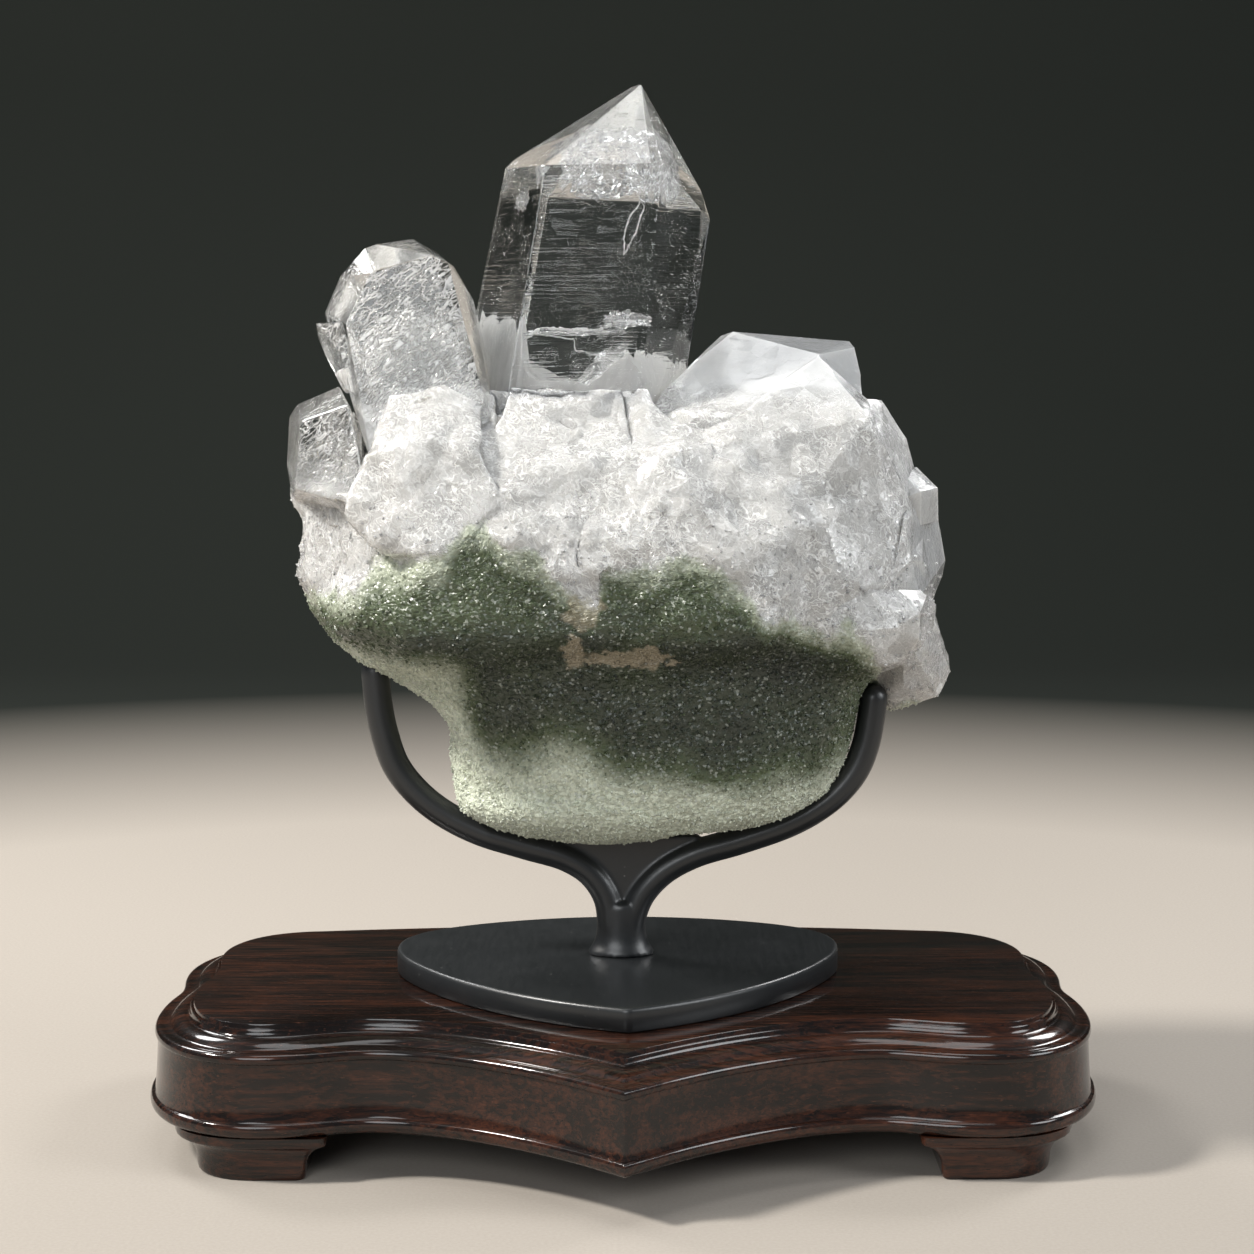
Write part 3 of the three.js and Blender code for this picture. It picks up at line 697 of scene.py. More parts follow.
def bent_rod(centre_line):
    """A round rod along its centre line, from its domed tip to its foot."""
    curve = catmull(centre_line, 8)
    along = unit(np.gradient(curve, axis=0))
    turn = around(40)
    rings = []
    for tip in np.radians([88, 70, 50, 32, 15]):
        place = curve[0] - along[0] * ROD_RADIUS * math.sin(tip)
        rings.append((place, along[0], ROD_RADIUS * math.cos(tip)))
    rings += [(place, direction, ROD_RADIUS) for place, direction in zip(curve, along)]
    circles = []
    for place, direction, radius in rings:
        x = place[0] - direction[1] * np.cos(turn) * radius
        z = place[1] + direction[0] * np.cos(turn) * radius
        circles.append(np.column_stack([x, -np.sin(turn) * radius, z]))
    return loft(circles)


def stem_foot():
    """The flared foot under the rods, a little flatter from front to back than it is wide."""
    profile = [
        (7.0, 34.86), (6.95, 35.3), (6.7, 35.8), (5.95, 36.9), (5.35, 38.6), (5.1, 41), (5, 43.1),
        (4.6, 45.6), (2.5, 46.1),
    ]
    turn = around(48)
    circle = np.column_stack([np.cos(turn), 0.66 * np.sin(turn)])
    return loft([at_height(circle * radius + [STEM_X, 0], z) for radius, z in catmull(profile, 4)])


def gusset():
    """The small flat plate in the crotch of the fork."""
    half = 1.3
    outline = np.array(WEB_OUTLINE)
    count = len(outline)
    points = [(x, y, z) for y in (-half, half) for x, z in outline]
    faces = [tuple(range(count)), tuple(range(count, 2 * count))[::-1]]
    for i in range(count):
        following = (i + 1) % count
        faces.append((following, i, i + count, following + count))
    return np.array(points), faces


def welded_fork(material):
    """Rods, stem and gusset melted into one skin, with a small fillet where they meet."""
    points, faces = together([bent_rod(LEFT_ROD), bent_rod(RIGHT_ROD), stem_foot(), gusset()])
    mesh = bpy.data.meshes.new("fork_parts")
    mesh.from_pydata(((points + HOLDER) * MM).tolist(), [], faces)
    fork = bpy.data.objects.new("fork_parts", mesh)
    SCENE.collection.objects.link(fork)
    remesh = fork.modifiers.new("melt", "REMESH")
    remesh.mode = "VOXEL"
    remesh.voxel_size = 0.42 * MM
    smoothing = fork.modifiers.new("fillet", "SMOOTH")
    smoothing.iterations = 5
    smoothing.factor = 0.5
    skin = bpy.data.meshes.new_from_object(fork.evaluated_get(bpy.context.evaluated_depsgraph_get()))
    bpy.data.objects.remove(fork)
    piece = dressed("fork_arms", skin, material)
    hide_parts("support_fork")


# Quartz: corners in the stand's own frame, as in the solid part
CLEAR_POINT = [
    (2.9, 3, 214.5), (0.8, 3.6, 213.9), (-24.9, 3, 197.5), (-23, 3, 199.3), (-16.3, -14.6, 197.2),
    (4.6, -15, 197.6), (6.8, -14, 197.4), (15.2, 3, 193), (17, 3, 187.4), (16.3, 3, 182.5), (6, 20, 190),
    (-16, 20.5, 191), (-38, 3, 135), (-26.6, -18.8, 135), (-0.4, -19, 135), (1.2, -18, 135), (9, 3, 135),
    (1, 24, 135), (-26, 24, 135),
]
FROSTED_CRYSTAL = [
    (-52.5, -8, 181.2), (-50.2, -8, 182), (-43, -5, 183.1), (-38.6, -5, 180.6), (-49.6, -16, 177),
    (-38.4, -16.5, 179.6), (-35.4, -16, 178.2), (-34.7, -9, 177.6), (-30.9, -7, 170.9), (-32.5, -18, 167.6),
    (-57.8, -6, 175.6), (-61, -6, 168.2), (-60, -10, 167.6), (-50.6, -16.4, 176.2), (-55.4, -18.4, 166.2),
    (-47, 8, 179), (-36, 9, 175), (-58, 6, 168), (-50, -24, 138), (-24.5, -24, 138), (-54, 13, 138),
    (-24, 13, 138),
]
UPPER_BUD = [
    (-62.5, -8, 166.2), (-62.4, -6, 163.6), (-60.5, -9, 159.6), (-57.8, -8, 154), (-56, -17, 166.5),
    (-56.5, -17.5, 160), (-54, -19, 152), (-56, 3, 166), (-52, 4, 150),
]
LOWER_BUD = [
    (-57.6, -12, 153.8), (-63.6, -9, 151), (-66.6, -8, 150), (-68.2, -8, 147.6), (-68.6, -10, 138),
    (-67.8, -8, 131), (-64.4, -21, 147), (-54.5, -24, 150.5), (-65.4, -22.5, 134), (-50, -29, 130),
    (-58, 10, 150), (-66, 10, 138), (-50, 8, 128),
]


def as_mesh(bm):
    mesh = bpy.data.meshes.new("shape")
    bm.to_mesh(mesh)
    bm.free()
    return mesh


def shaped(bm):
    """A bmesh in metres as an object, for a boolean."""
    thing = bpy.data.objects.new("shape", as_mesh(bm))
    SCENE.collection.objects.link(thing)
    return thing


def hull(corners, grown=0.0, cuts=(), bevel=0.0, flatten=True):
    """A convex crystal in metres. What lies past the place of a cut, in its direction, is cut off."""
    nearly_flat, sharp = math.radians(2.5), math.radians(9)
    corners = np.array(corners, float)
    middle = corners.mean(axis=0)
    corners = middle + (corners - middle) * (1 + grown)
    bm = bmesh.new()
    for corner in (corners + HOLDER) * MM:
        bm.verts.new(corner)
    made = bmesh.ops.convex_hull(bm, input=bm.verts)
    inner = made["geom_interior"] + made["geom_unused"]
    loose = {part for part in inner if isinstance(part, bmesh.types.BMVert)}
    bmesh.ops.delete(bm, geom=list(loose), context="VERTS")
    for place, direction in cuts:
        bmesh.ops.bisect_plane(
            bm,
            geom=bm.verts[:] + bm.edges[:] + bm.faces[:],
            plane_co=Vector((np.array(place) + HOLDER) * MM),
            plane_no=Vector(direction),
            clear_outer=True,
        )
        bmesh.ops.holes_fill(bm, edges=bm.edges[:])
    if flatten:
        bmesh.ops.dissolve_limit(bm, angle_limit=nearly_flat, verts=bm.verts[:], edges=bm.edges[:])
    if bevel:
        crisp = [e for e in bm.edges if len(e.link_faces) == 2 and e.calc_face_angle() > sharp]
        rounding = {"offset": bevel * MM, "segments": 2, "profile": 0.6, "clamp_overlap": True}
        bmesh.ops.bevel(bm, geom=crisp, affect="EDGES", **rounding)
    bmesh.ops.triangulate(bm, faces=bm.faces[:])
    bmesh.ops.recalc_face_normals(bm, faces=bm.faces[:])
    return bm


def points_and_triangles(mesh):
    """A mesh's points in millimetres in the stand's own frame, and its triangles."""
    points = np.empty(len(mesh.vertices) * 3)
    mesh.vertices.foreach_get("co", points)
    mesh.calc_loop_triangles()
    triangles = np.empty(len(mesh.loop_triangles) * 3, np.int32)
    mesh.loop_triangles.foreach_get("vertices", triangles)
    return points.reshape(-1, 3) / MM - HOLDER, triangles.reshape(-1, 3).astype(np.int64)


# Cuts that end each see-through crystal inside the stone, as places and directions
CLEAR_CUTS = [
    ((-12, 0, 139.5), (0.12, -0.1, -1)),
    ((-30, 0, 141), (-0.6, 0, -1)),
    ((4, 0, 137), (0.5, 0, -1)),
]
FROSTED_CUTS = [((-40, -10, 142.5), (0.1, 0.25, -1)), ((-28, -10, 146), (0.7, 0.1, -1))]
UPPER_BUD_CUTS = [((-58, -8, 156), (0.5, 0, -1))]
LOWER_BUD_CUTS = [((-54.2, -10, 140), (1, 0.15, 0)), ((-62, -10, 133.5), (0, 0, -1))]


def carved_stone():
    """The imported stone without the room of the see-through crystals."""
    bm = bmesh.new()
    bm.from_mesh(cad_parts["quartz_cluster"].data)
    bmesh.ops.remove_doubles(bm, verts=bm.verts[:], dist=1e-6)
    stone = shaped(bm)
    grown = 0.012
    for corners, cuts in (
        (CLEAR_POINT, CLEAR_CUTS),
        (FROSTED_CRYSTAL, FROSTED_CUTS),
        (UPPER_BUD, UPPER_BUD_CUTS),
        (LOWER_BUD, LOWER_BUD_CUTS),
    ):
        cutter = shaped(hull(corners, grown=grown, cuts=cuts, flatten=False))
        cut = stone.modifiers.new("cut", "BOOLEAN")
        cut.operation = "DIFFERENCE"
        cut.solver = "EXACT"
        cut.object = cutter
        carved = bpy.data.meshes.new_from_object(stone.evaluated_get(bpy.context.evaluated_depsgraph_get()))
        stone.modifiers.clear()
        stone.data = carved
        bpy.data.objects.remove(cutter)
    points, triangles = points_and_triangles(stone.data)
    bpy.data.objects.remove(stone)
    return points, triangles


def refined(points, triangles, longest):
    """Halves every edge longer than the limit until none is left. The limit may depend on the place."""
    while True:
        count = len(points)
        ends = np.sort(triangles[:, [0, 1, 1, 2, 2, 0]].reshape(-1, 2), axis=1)
        keys, where = np.unique(ends[:, 0] * count + ends[:, 1], return_inverse=True)
        low, high = keys // count, keys % count
        length = np.linalg.norm(points[low] - points[high], axis=1)
        middles = (points[low] + points[high]) / 2
        split = length > longest(middles)
        if not split.any():
            return points, triangles
        new = np.full(len(keys), -1)
        new[split] = count + np.arange(split.sum())
        points = np.vstack([points, middles[split]])
        middle = new[where.reshape(-1, 3)]
        marked = middle >= 0
        number = marked.sum(axis=1)
        first = np.where(number == 2, np.argmin(marked, axis=1), np.argmax(marked, axis=1))
        order = (first[:, None] + np.arange(3)) % 3
        a, b, c = np.take_along_axis(triangles, order, axis=1).T
        ab, bc, ca = np.take_along_axis(middle, order, axis=1).T
        parts = [
            (number == 0, [(a, b, c)]),
            (number == 1, [(a, ab, c), (ab, b, c)]),
            (number == 2, [(ca, bc, c), (a, b, bc), (a, bc, ca)]),
            (number == 3, [(a, ab, ca), (ab, b, bc), (ca, bc, c), (ab, bc, ca)]),
        ]
        pieces = [np.column_stack(corners)[chosen] for chosen, made in parts for corners in made]
        triangles = np.vstack(pieces)


def normals_of(points, triangles):
    """Face normals times twice the area, and unit normals of the points."""
    a, b, c = points[triangles.T]
    faces = np.cross(b - a, c - a)
    spots = np.zeros_like(points)
    for k in range(3):
        np.add.at(spots, triangles[:, k], faces)
    return faces, unit(spots)


def beside(points, corners, cuts):
    """0 for points on the skin of a crystal and 1 for those about two millimetres from it."""
    skin = 0.9
    bm = hull(corners, cuts=cuts)
    distance = np.full(len(points), -np.inf)
    for face in bm.faces:
        place = np.array(face.verts[0].co) / MM - HOLDER
        distance = np.maximum(distance, (points - place) @ np.array(face.normal))
    bm.free()
    return np.clip(np.abs(distance) - skin, 0, 1)


def relaxed(points, triangles, share, rounds):
    """Moves each point towards the middle of its neighbours, by a share of its own."""
    start = triangles.ravel()
    end = triangles[:, [1, 2, 0]].ravel()
    count = np.maximum(np.bincount(start, minlength=len(points)), 1)
    for _ in range(rounds):
        sums = [np.bincount(start, points[end, axis], minlength=len(points)) for axis in range(3)]
        points = points + (np.stack(sums, axis=1) / count[:, None] - points) * share[:, None]
    return points


# Upper limit of the green skin on the front, as x and z
GREEN_LIMIT = [
    (-53, 113.4), (-50.1, 118.9), (-46, 121.8), (-41.8, 120.9), (-35.9, 120.9), (-31.4, 128), (-27.5, 128),
    (-23, 122.6), (-17.6, 122.6), (-13.5, 116.3), (-8.5, 113.8), (-6, 113.2), (-4.8, 119.4), (0.7, 119.7),
    (5.7, 119.7), (10.1, 121.5), (16.9, 119.7), (21.5, 116.5), (26.5, 109.3), (32.8, 109.7), (39.1, 105.6),
    (43.3, 108.1), (48.7, 101.7), (51, 97), (54, 91), (58, 86), (64, 83),
]
# Lower edge of the lobes that hang over the trunk, as x and z; above it the colour is painted paler as
# light on the lobe tops, and the darker trunk below is partly painted shade
LEDGE = [
    (-62, 99), (-50, 101), (-42, 106), (-30, 107), (-20, 107.5), (-13, 104), (-5, 107), (1.5, 103.1),
    (7, 105.6), (12, 104.7), (16, 105.1), (22, 106), (25.7, 107.4), (32, 104), (40, 101), (48, 98),
    (60, 84),
]
# Height under which the foot is painted paler as painted light, as x and z
PALE_LIMIT = [(-40, 84), (-30, 77), (-15, 79), (0, 76), (12, 73.5), (30, 72), (45, 75), (60, 84)]
# Torn tan patches: middle x and z, half width and height, where they fade out and are full, strength
TAN_PATCHES = [
    (-10.8, 102.6, 2.2, 3.8, 1.15, 0.8, 1.0),
    (2.2, 101.8, 8.0, 2.4, 1.15, 0.8, 1.0),
    (-8.4, 112, 3.8, 3.6, 1.2, 0.7, 0.7),
]


def tan_share(points):
    """How tan each place is, on the front only."""
    x, y, z = points.T
    torn = 0.9 * soft_noise(points, 2.4, 35) + 0.6 * soft_noise(points, 1.1, 36)
    tan = np.zeros(len(points))
    for middle_x, middle_z, half_width, half_height, outer, inner, strength in TAN_PATCHES:
        away = ((x - middle_x) / half_width) ** 2 + ((z - middle_z) / half_height) ** 2
        tan = np.maximum(tan, strength * smooth_step(outer, inner, away + torn))
    return 0.85 * tan * smooth_step(-12, -18, y)


def shades(points):
    """For each place: the share of green skin, how pale it is, which carries painted light and shade as
    well as the green's own tone, and how tan it is.
    """
    x, y, z = points.T
    front = read_off(GREEN_LIMIT, x)
    ragged = 1.6 * soft_noise(points, 4.2, 31) + 0.9 * soft_noise(points, 1.5, 32)
    behind = 111 + 4 * soft_noise(points, 16, 33) - 24 * smooth_step(46, 56, x)
    limit = front + (behind - front) * smooth_step(-20, 4, y) + ragged
    chlorite = smooth_step(-3.4, 2.6, limit - z)
    clouds = layered_noise(points, 11, 34)
    # The pale share paints light and shade: the foot, the left end and the lobe tops are painted paler as
    # light from the upper left, and the trunk under the lobes keeps a dark colour that is partly painted
    # shade. The rim under the white part and the clouds are the green's own tone.
    foot = 1.1 * smooth_step(11, -9, z - read_off(PALE_LIMIT, x) - 2.5 * clouds)
    rim = 0.45 * smooth_step(7.5, -0.5, limit - z)
    painted_light_left_end = 0.75 * smooth_step(-27, -37, x) * smooth_step(106, 97, z)
    right_end = 0.26 * smooth_step(38, 52, x)
    painted_light_lobe_tops = 0.13 * smooth_step(-1.5, 3.5, z - read_off(LEDGE, x) - 0.8 * ragged)
    painted_light_left_lobe = 0.10 * smooth_step(-10, -24, x) * smooth_step(104, 112, z)
    pale = 0.10 + 0.14 * clouds + foot + rim + painted_light_left_end + right_end + painted_light_lobe_tops + painted_light_left_lobe
    return chlorite, np.clip(pale, 0, 1), np.clip(tan_share(points), 0, 1)


def polished_and_painted_light_share(points):
    """How smooth the milky crystals' faces are; the material also paints these faces a faintly bluish
    grey-white as painted reflection and light.
    """
    x, _, z = points.T
    top = smooth_step(148, 155, z) * smooth_step(6, 14, x)
    side = smooth_step(54, 58, x) * plateau(z, 108, 114, 134, 139)
    return np.clip(np.maximum(top, 0.8 * side) + 0.15 * soft_noise(points, 6, 41), 0, 1)


def with_attributes(piece, domain="POINT", **values):
    """Gives each point or face of a piece its own values, for the material to read."""
    for name, numbers in values.items():
        attribute = piece.data.attributes.new(name, "FLOAT", domain)
        attribute.data.foreach_set("value", np.asarray(numbers, np.float32))


def triangle_mesh(name, points, triangles, material, smooth=True, crease=None):
    """A piece of the stone from places in the stand's own frame."""
    mesh = bpy.data.meshes.new(name)
    mesh.vertices.add(len(points))
    mesh.vertices.foreach_set("co", ((points + HOLDER) * MM).ravel())
    mesh.loops.add(triangles.size)
    mesh.loops.foreach_set("vertex_index", triangles.ravel().astype(np.int32))
    mesh.polygons.add(len(triangles))
    mesh.polygons.foreach_set("loop_start", np.arange(0, triangles.size, 3, dtype=np.int32))
    mesh.update(calc_edges=True)
    return dressed(name, mesh, material, smooth, crease)


# Where the milky crystals grow out from, about
GROWTH_CENTRE = np.array([-2.0, 6.0, 88.0])


def filled(points, facing):
    """Closes the ledges at the feet of the standing crystals and the overhang above the green lobes."""
    x, y, z = points.T
    uneven = 0.8 * soft_noise(points, 5.0, 57)
    crest = 1.3 * soft_noise(points, 6.0, 58) + 0.6 * facet_noise(points, 3.0, 59)
    # The new slope rises backwards from the front of the stone to the crystals' feet.
    front_y, front_z = -31, 139.5
    slope = np.where(x < 4, 1.0, 0.75)
    ledge = front_z + slope * (np.clip(y, -32, -18) - front_y) + uneven + crest * smooth_step(-28, -20, y)
    upward = facing[:, 2] > 0.25
    at_feet = (z > 135) & (y > -33) & (y < -16.5) & (x > -50) & (x < 27) & upward
    z = np.where(at_feet, np.maximum(z, ledge * plateau(x, -52, -48, 24, 29)), z)
    # The new front above the lobes bulges most at their upper edge.
    bulge_y, bulge_z = -39.3, 112
    bulge = bulge_y - 1.2 * np.cos((z - bulge_z) / 12) + uneven
    overhang = plateau(x, -47, -38, 24, 36) * plateau(z, 101, 107, 124, 131)
    behind = (y < -22) & (y > bulge)
    y = np.where(behind, y + (bulge - y) * overhang, y)
    return np.column_stack([x, y, z])


def longest_edge(spots):
    """Finer on the upper front of the stone, where its relief shows most."""
    fine, plain = 0.85, 1.15
    return np.where((spots[:, 1] < 6) & (spots[:, 2] > 100), fine, plain)


def worn_stone():
    """The carved stone with soft passages where crystals and lobes grow into each other."""
    points, triangles = refined(*carved_stone(), longest_edge)
    chlorite, _, _ = shades(points)
    x, y, z = points.T
    worn = smooth_step(137, 128, z) * smooth_step(30, 16, x)
    foot = smooth_step(158, 154, z) * smooth_step(-12, -16, y) * smooth_step(32, 25, x)
    points = filled(points, normals_of(points, triangles)[1])
    crystals = ((CLEAR_POINT, CLEAR_CUTS), (FROSTED_CRYSTAL, FROSTED_CUTS))
    loose = np.minimum(*[beside(points, corners, cuts) for corners, cuts in crystals])
    share = 0.6 * np.maximum(np.maximum(worn, foot), chlorite) * loose
    return relaxed(points, triangles, share, rounds=40), triangles


def stone_relief(points, chlorite, rough):
    """Height of the small crystals' ridges on the milky part and of the grain on the green part."""
    # Distances from the growth centre are shortened, which draws the ridges out along their growth.
    core, shortened = 45, 0.42
    rays = points - GROWTH_CENTRE
    reach = np.linalg.norm(rays, axis=1)[:, None]
    drawn = rays / reach * (core + shortened * (reach - core))
    ridges = 2.3 * (crystal_relief(drawn, 7.5, 51) + 0.3) + 0.45 * (crystal_relief(drawn, 2.6, 52) + 0.3)
    calm = 1 - 0.62 * smooth_step(16, 26, points[:, 0])
    steps = ridges * calm * rough + 0.05 * facet_noise(points, 6.0, 53)
    grain = 0.4 * soft_noise(points, 5.5, 54) + 0.34 * facet_noise(points, 1.5, 55)
    grain = grain + 0.2 * (hashed(np.round(points * 50), 56) - 0.5)
    return steps * (1 - chlorite) + grain * chlorite


def stone_mass(material):
    """The opaque stone: flat-sided ridges on the milky part and a rough grain on the green part."""
    points, triangles = worn_stone()
    _, normals = normals_of(points, triangles)
    chlorite, pale, tan = shades(points)
    polished = polished_and_painted_light_share(points)
    points = points + normals * stone_relief(points, chlorite, 1 - polished)[:, None]
    piece = triangle_mesh("stone_mass", points, triangles, material, crease=19)
    coarse = chlorite[triangles].mean(axis=1) > 0.5
    piece.data.polygons.foreach_set("use_smooth", ~coarse)
    with_attributes(piece, chlorite=chlorite, pale=pale, tan=tan, polished=polished)
    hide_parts("quartz_cluster")
    return points, triangles


def scattered(points, triangles, weight, count, seed):
    """Places on a surface with their normals, thicker where the weight is high."""
    random = np.random.default_rng(seed)
    faces, _ = normals_of(points, triangles)
    area = np.linalg.norm(faces, axis=1)
    share = area * weight
    chosen = random.choice(len(triangles), count, p=share / share.sum())
    u, v = random.random((2, count))
    flip = u + v > 1
    u, v = np.where(flip, 1 - u, u), np.where(flip, 1 - v, v)
    a, b, c = points[triangles[chosen].T]
    places = a + (b - a) * u[:, None] + (c - a) * v[:, None]
    return places, faces[chosen] / np.maximum(area[chosen], 1e-9)[:, None], random


def spindle(sides):
    """Faces of a double pyramid: its tip is corner 0, its foot is corner 1 and its ring follows."""
    faces = []
    for k in range(sides):
        here, there = 2 + k, 2 + (k + 1) % sides
        faces += [(0, here, there), (1, there, here)]
    return faces


def small_crystals(places, normals, random, radius, length, lean):
    """Closed six-sided points on the surface, each leaning its own way."""
    count, sides = len(places), 6
    foot_share, ring_share = 0.6, 0.15
    axis = unit(normals + lean * random.normal(size=(count, 3)))
    side = unit(np.cross(axis, random.normal(size=(count, 3))))
    other = np.cross(axis, side)
    width = random.uniform(*radius, count)[:, None]
    tall = width * random.uniform(*length, count)[:, None]
    corners = [places + axis * tall, places - axis * tall * foot_share]
    for turn in around(sides):
        out = side * math.cos(turn) + other * math.sin(turn)
        corners.append(places + width * out + axis * tall * ring_share)
    points = np.stack(corners, axis=1).reshape(-1, 3)
    firsts = np.arange(count)[:, None, None] * len(corners)
    return points, (firsts + np.array(spindle(sides))).reshape(-1, 3)


def grains(name, skin, weight, count, seed, radius, length, lean, material):
    """Tiny crystals strewn over the skin, with the shades of their places."""
    places, normals, random = scattered(*skin, weight, count, seed)
    spots, faces = small_crystals(places, normals, random, radius, length, lean)
    piece = triangle_mesh(name, spots, faces, material, smooth=False)
    corners = len(spots) // count
    share, pale, tan = shades(np.repeat(places, corners, axis=0))
    pale = np.clip(pale + np.repeat(random.normal(0, 0.09, count), corners), 0, 1)
    with_attributes(piece, chlorite=share, pale=pale, tan=tan, polished=np.zeros(len(spots)))


def crystal_skin(skin, material):
    """Thousands of tiny points on the green skin, and fewer, larger ones among the milky crystals."""
    points, triangles = skin
    green = shades(points)[0][triangles].mean(axis=1)
    centres = points[triangles].mean(axis=1)
    height = centres[:, 2]
    thick = green**2 * (1 - 0.6 * smooth_step(98, 106, height))
    grains("druse_points", skin, thick, 13000, 61, (0.17, 0.40), (0.9, 1.8), 0.5, material)
    sparse = (1 - green) * (1 - polished_and_painted_light_share(centres)) * smooth_step(136, 122, height)
    grains("milky_points", skin, sparse, 1300, 62, (0.18, 0.42), (0.8, 1.4), 0.45, material)


# See-through crystals and what is inside them
def clear_crystal(name, corners, cuts, material, bevel):
    """A see-through crystal; its front is etched and its top and sides are smooth."""
    points, triangles = points_and_triangles(as_mesh(hull(corners, cuts=cuts, bevel=bevel)))
    piece = triangle_mesh(name, points, triangles, material, crease=4)
    normals = unit(normals_of(points, triangles)[0])
    etched = smooth_step(0.35, 0.7, -normals[:, 1]) * smooth_step(0.55, 0.35, normals[:, 2])
    with_attributes(piece, domain="FACE", etched=0.12 + 0.88 * etched)


def sunk(cuts, depth):
    """The same cuts, moved along their directions, so that the crystal reaches into the stone."""
    moved = []
    for place, direction in cuts:
        moved.append((np.array(place) + unit(np.array(direction, float)) * depth, direction))
    return moved


# Top of the cloudy root, as x and z
ROOT_TOP = [
    (-36, 150), (-31, 152), (-26, 155), (-23.5, 163), (-21, 167), (-20, 157), (-14, 154.5), (-8, 153.5),
    (-4, 157), (0, 160), (2.5, 156), (5, 145), (12, 139),
]


def clear_point_root(material):
    """The cloudy foot of the clear point, just inside its faces, with a feathery top."""
    lowest, foot, ceiling, inset = 134.0, 135.0, 172.0, 0.955
    shape = hull(CLEAR_POINT, cuts=[((0, 0, ceiling), (0, 0, 1))])
    points, triangles = points_and_triangles(as_mesh(shape))
    points, triangles = refined(points, triangles, lambda spots: np.full(len(spots), 1.1))
    level = (points[:, 2] - foot) / (ceiling - foot)
    middle_x, middle_y = -14.5 + 9.5 * level, 2
    points[:, 0] = middle_x + (points[:, 0] - middle_x) * inset
    points[:, 1] = middle_y + (points[:, 1] - middle_y) * inset
    flat = points * [1, 1, 0]
    top = read_off(ROOT_TOP, points[:, 0]) + 1.2 * soft_noise(flat, 6, 73)
    top = top + 0.5 * facet_noise(flat, 3.2, 71) + 0.2 * facet_noise(flat, 1.3, 72)
    points[:, 2] = lowest + level * (top - lowest)
    _, normals = normals_of(points, triangles)
    points = points + normals * (0.2 * facet_noise(points, 4.0, 74))[:, None]
    triangle_mesh("clear_point_root", points, triangles, material, crease=24)


def veil(centre, across, upward, half_sizes, crumple, seed):
    """A thin crumpled sheet with a jagged outline."""
    sides, circles, thickness = 44, 9, 0.06
    across, upward = unit(np.array(across, float)), unit(np.array(upward, float))
    out = np.cross(across, upward)
    turn = around(sides)
    corner = np.column_stack([np.cos(turn), np.sin(turn), np.full(sides, seed * 1.7)])
    edge = 1 + 0.34 * facet_noise(corner * 3.1, 1.0, seed)
    edge = edge + 0.15 * (hashed(np.round(corner * 997), seed) - 0.5)
    shares = np.linspace(0.06, 1, circles)
    rings = []
    for lifted, order in ((0, shares), (thickness, shares[::-1])):
        for share in order:
            u = np.cos(turn) * edge * share * half_sizes[0]
            v = np.sin(turn) * edge * share * half_sizes[1]
            flat = np.column_stack([u, v, np.full(sides, seed * 3.3)])
            lift = crumple * (facet_noise(flat, 2.2, seed + 1) + 0.5 * facet_noise(flat, 0.9, seed + 2))
            sheet = np.outer(u, across) + np.outer(v, upward) + np.outer(lift + lifted, out)
            rings.append(np.array(centre) + sheet)
    return loft(rings)


def thread(path, radius, seed):
    """A thin uneven white line inside the stone."""
    steps, sides, taper = 60, 6, 6
    path = evenly(path, steps)
    path = path + 0.22 * np.stack([soft_noise(path, 0.7, seed + k) for k in range(3)], axis=1)
    along = unit(np.gradient(path, axis=0))
    side = unit(np.cross(along, (0, 1, 0)))
    other = np.cross(along, side)
    rings = []
    for i, place in enumerate(path):
        uneven = 0.35 + 1.1 * hashed(np.array([[i, 0, 0]]), seed)[0]
        width = radius * uneven * min(1, 0.2 + i / taper, 0.2 + (steps - 1 - i) / taper)
        ring = [place + width * (side[i] * math.cos(t) + other[i] * math.sin(t)) for t in around(sides)]
        rings.append(ring)
    return loft(rings)


def dash(place, along, length, radius):
    """A sliver that thins to a point at both ends."""
    along = unit(np.asarray(along))
    side = unit(np.cross(along, (0.3, 0.2, 1.0)))
    other = np.cross(along, side)
    ring = [place + radius * (side * math.cos(t) + other * math.sin(t)) for t in around(3)]
    return np.array([place + along * length / 2, place - along * length / 2, *ring]), spindle(3)


def clear_point_cracks(material):
    """Healed cracks: a crumpled zone near the tip, a jagged line lower down and a bright flat beside it."""
    parts = [
        veil((-2.5, 0, 196.2), (1, 0.1, 0.05), (0.1, 0.55, 0.85), (9.5, 6.4), 0.9, 81),
        veil((-9.5, -3, 196.6), (1, 0, 0.3), (0, 0.35, 0.9), (4.0, 4.2), 0.8, 82),
        veil((3.6, -2, 195), (1, 0.2, -0.3), (0, 0.5, 0.9), (4.2, 5.0), 0.9, 83),
        veil((-20, -6, 190.4), (1, -0.4, 0.2), (0.1, 0.6, 0.9), (2.6, 2.4), 0.7, 84),
        veil((-0.6, -12, 166.9), (1, 0, -0.05), (0.1, 0.7, 0.6), (3.9, 2.6), 0.6, 85),
        veil((-5.3, -11, 156.8), (0.72, 0.1, 0.72), (-0.6, 0.5, 0.62), (7.4, 2.6), 0.15, 86),
        veil((-11, -12, 164.3), (1, 0, 0.01), (0, 0.9, 0.28), (10.5, 1.8), 0.35, 87),
    ]
    points, faces = together(parts)
    add_mesh("clear_point_cracks", points + HOLDER, faces, material, smooth=False)


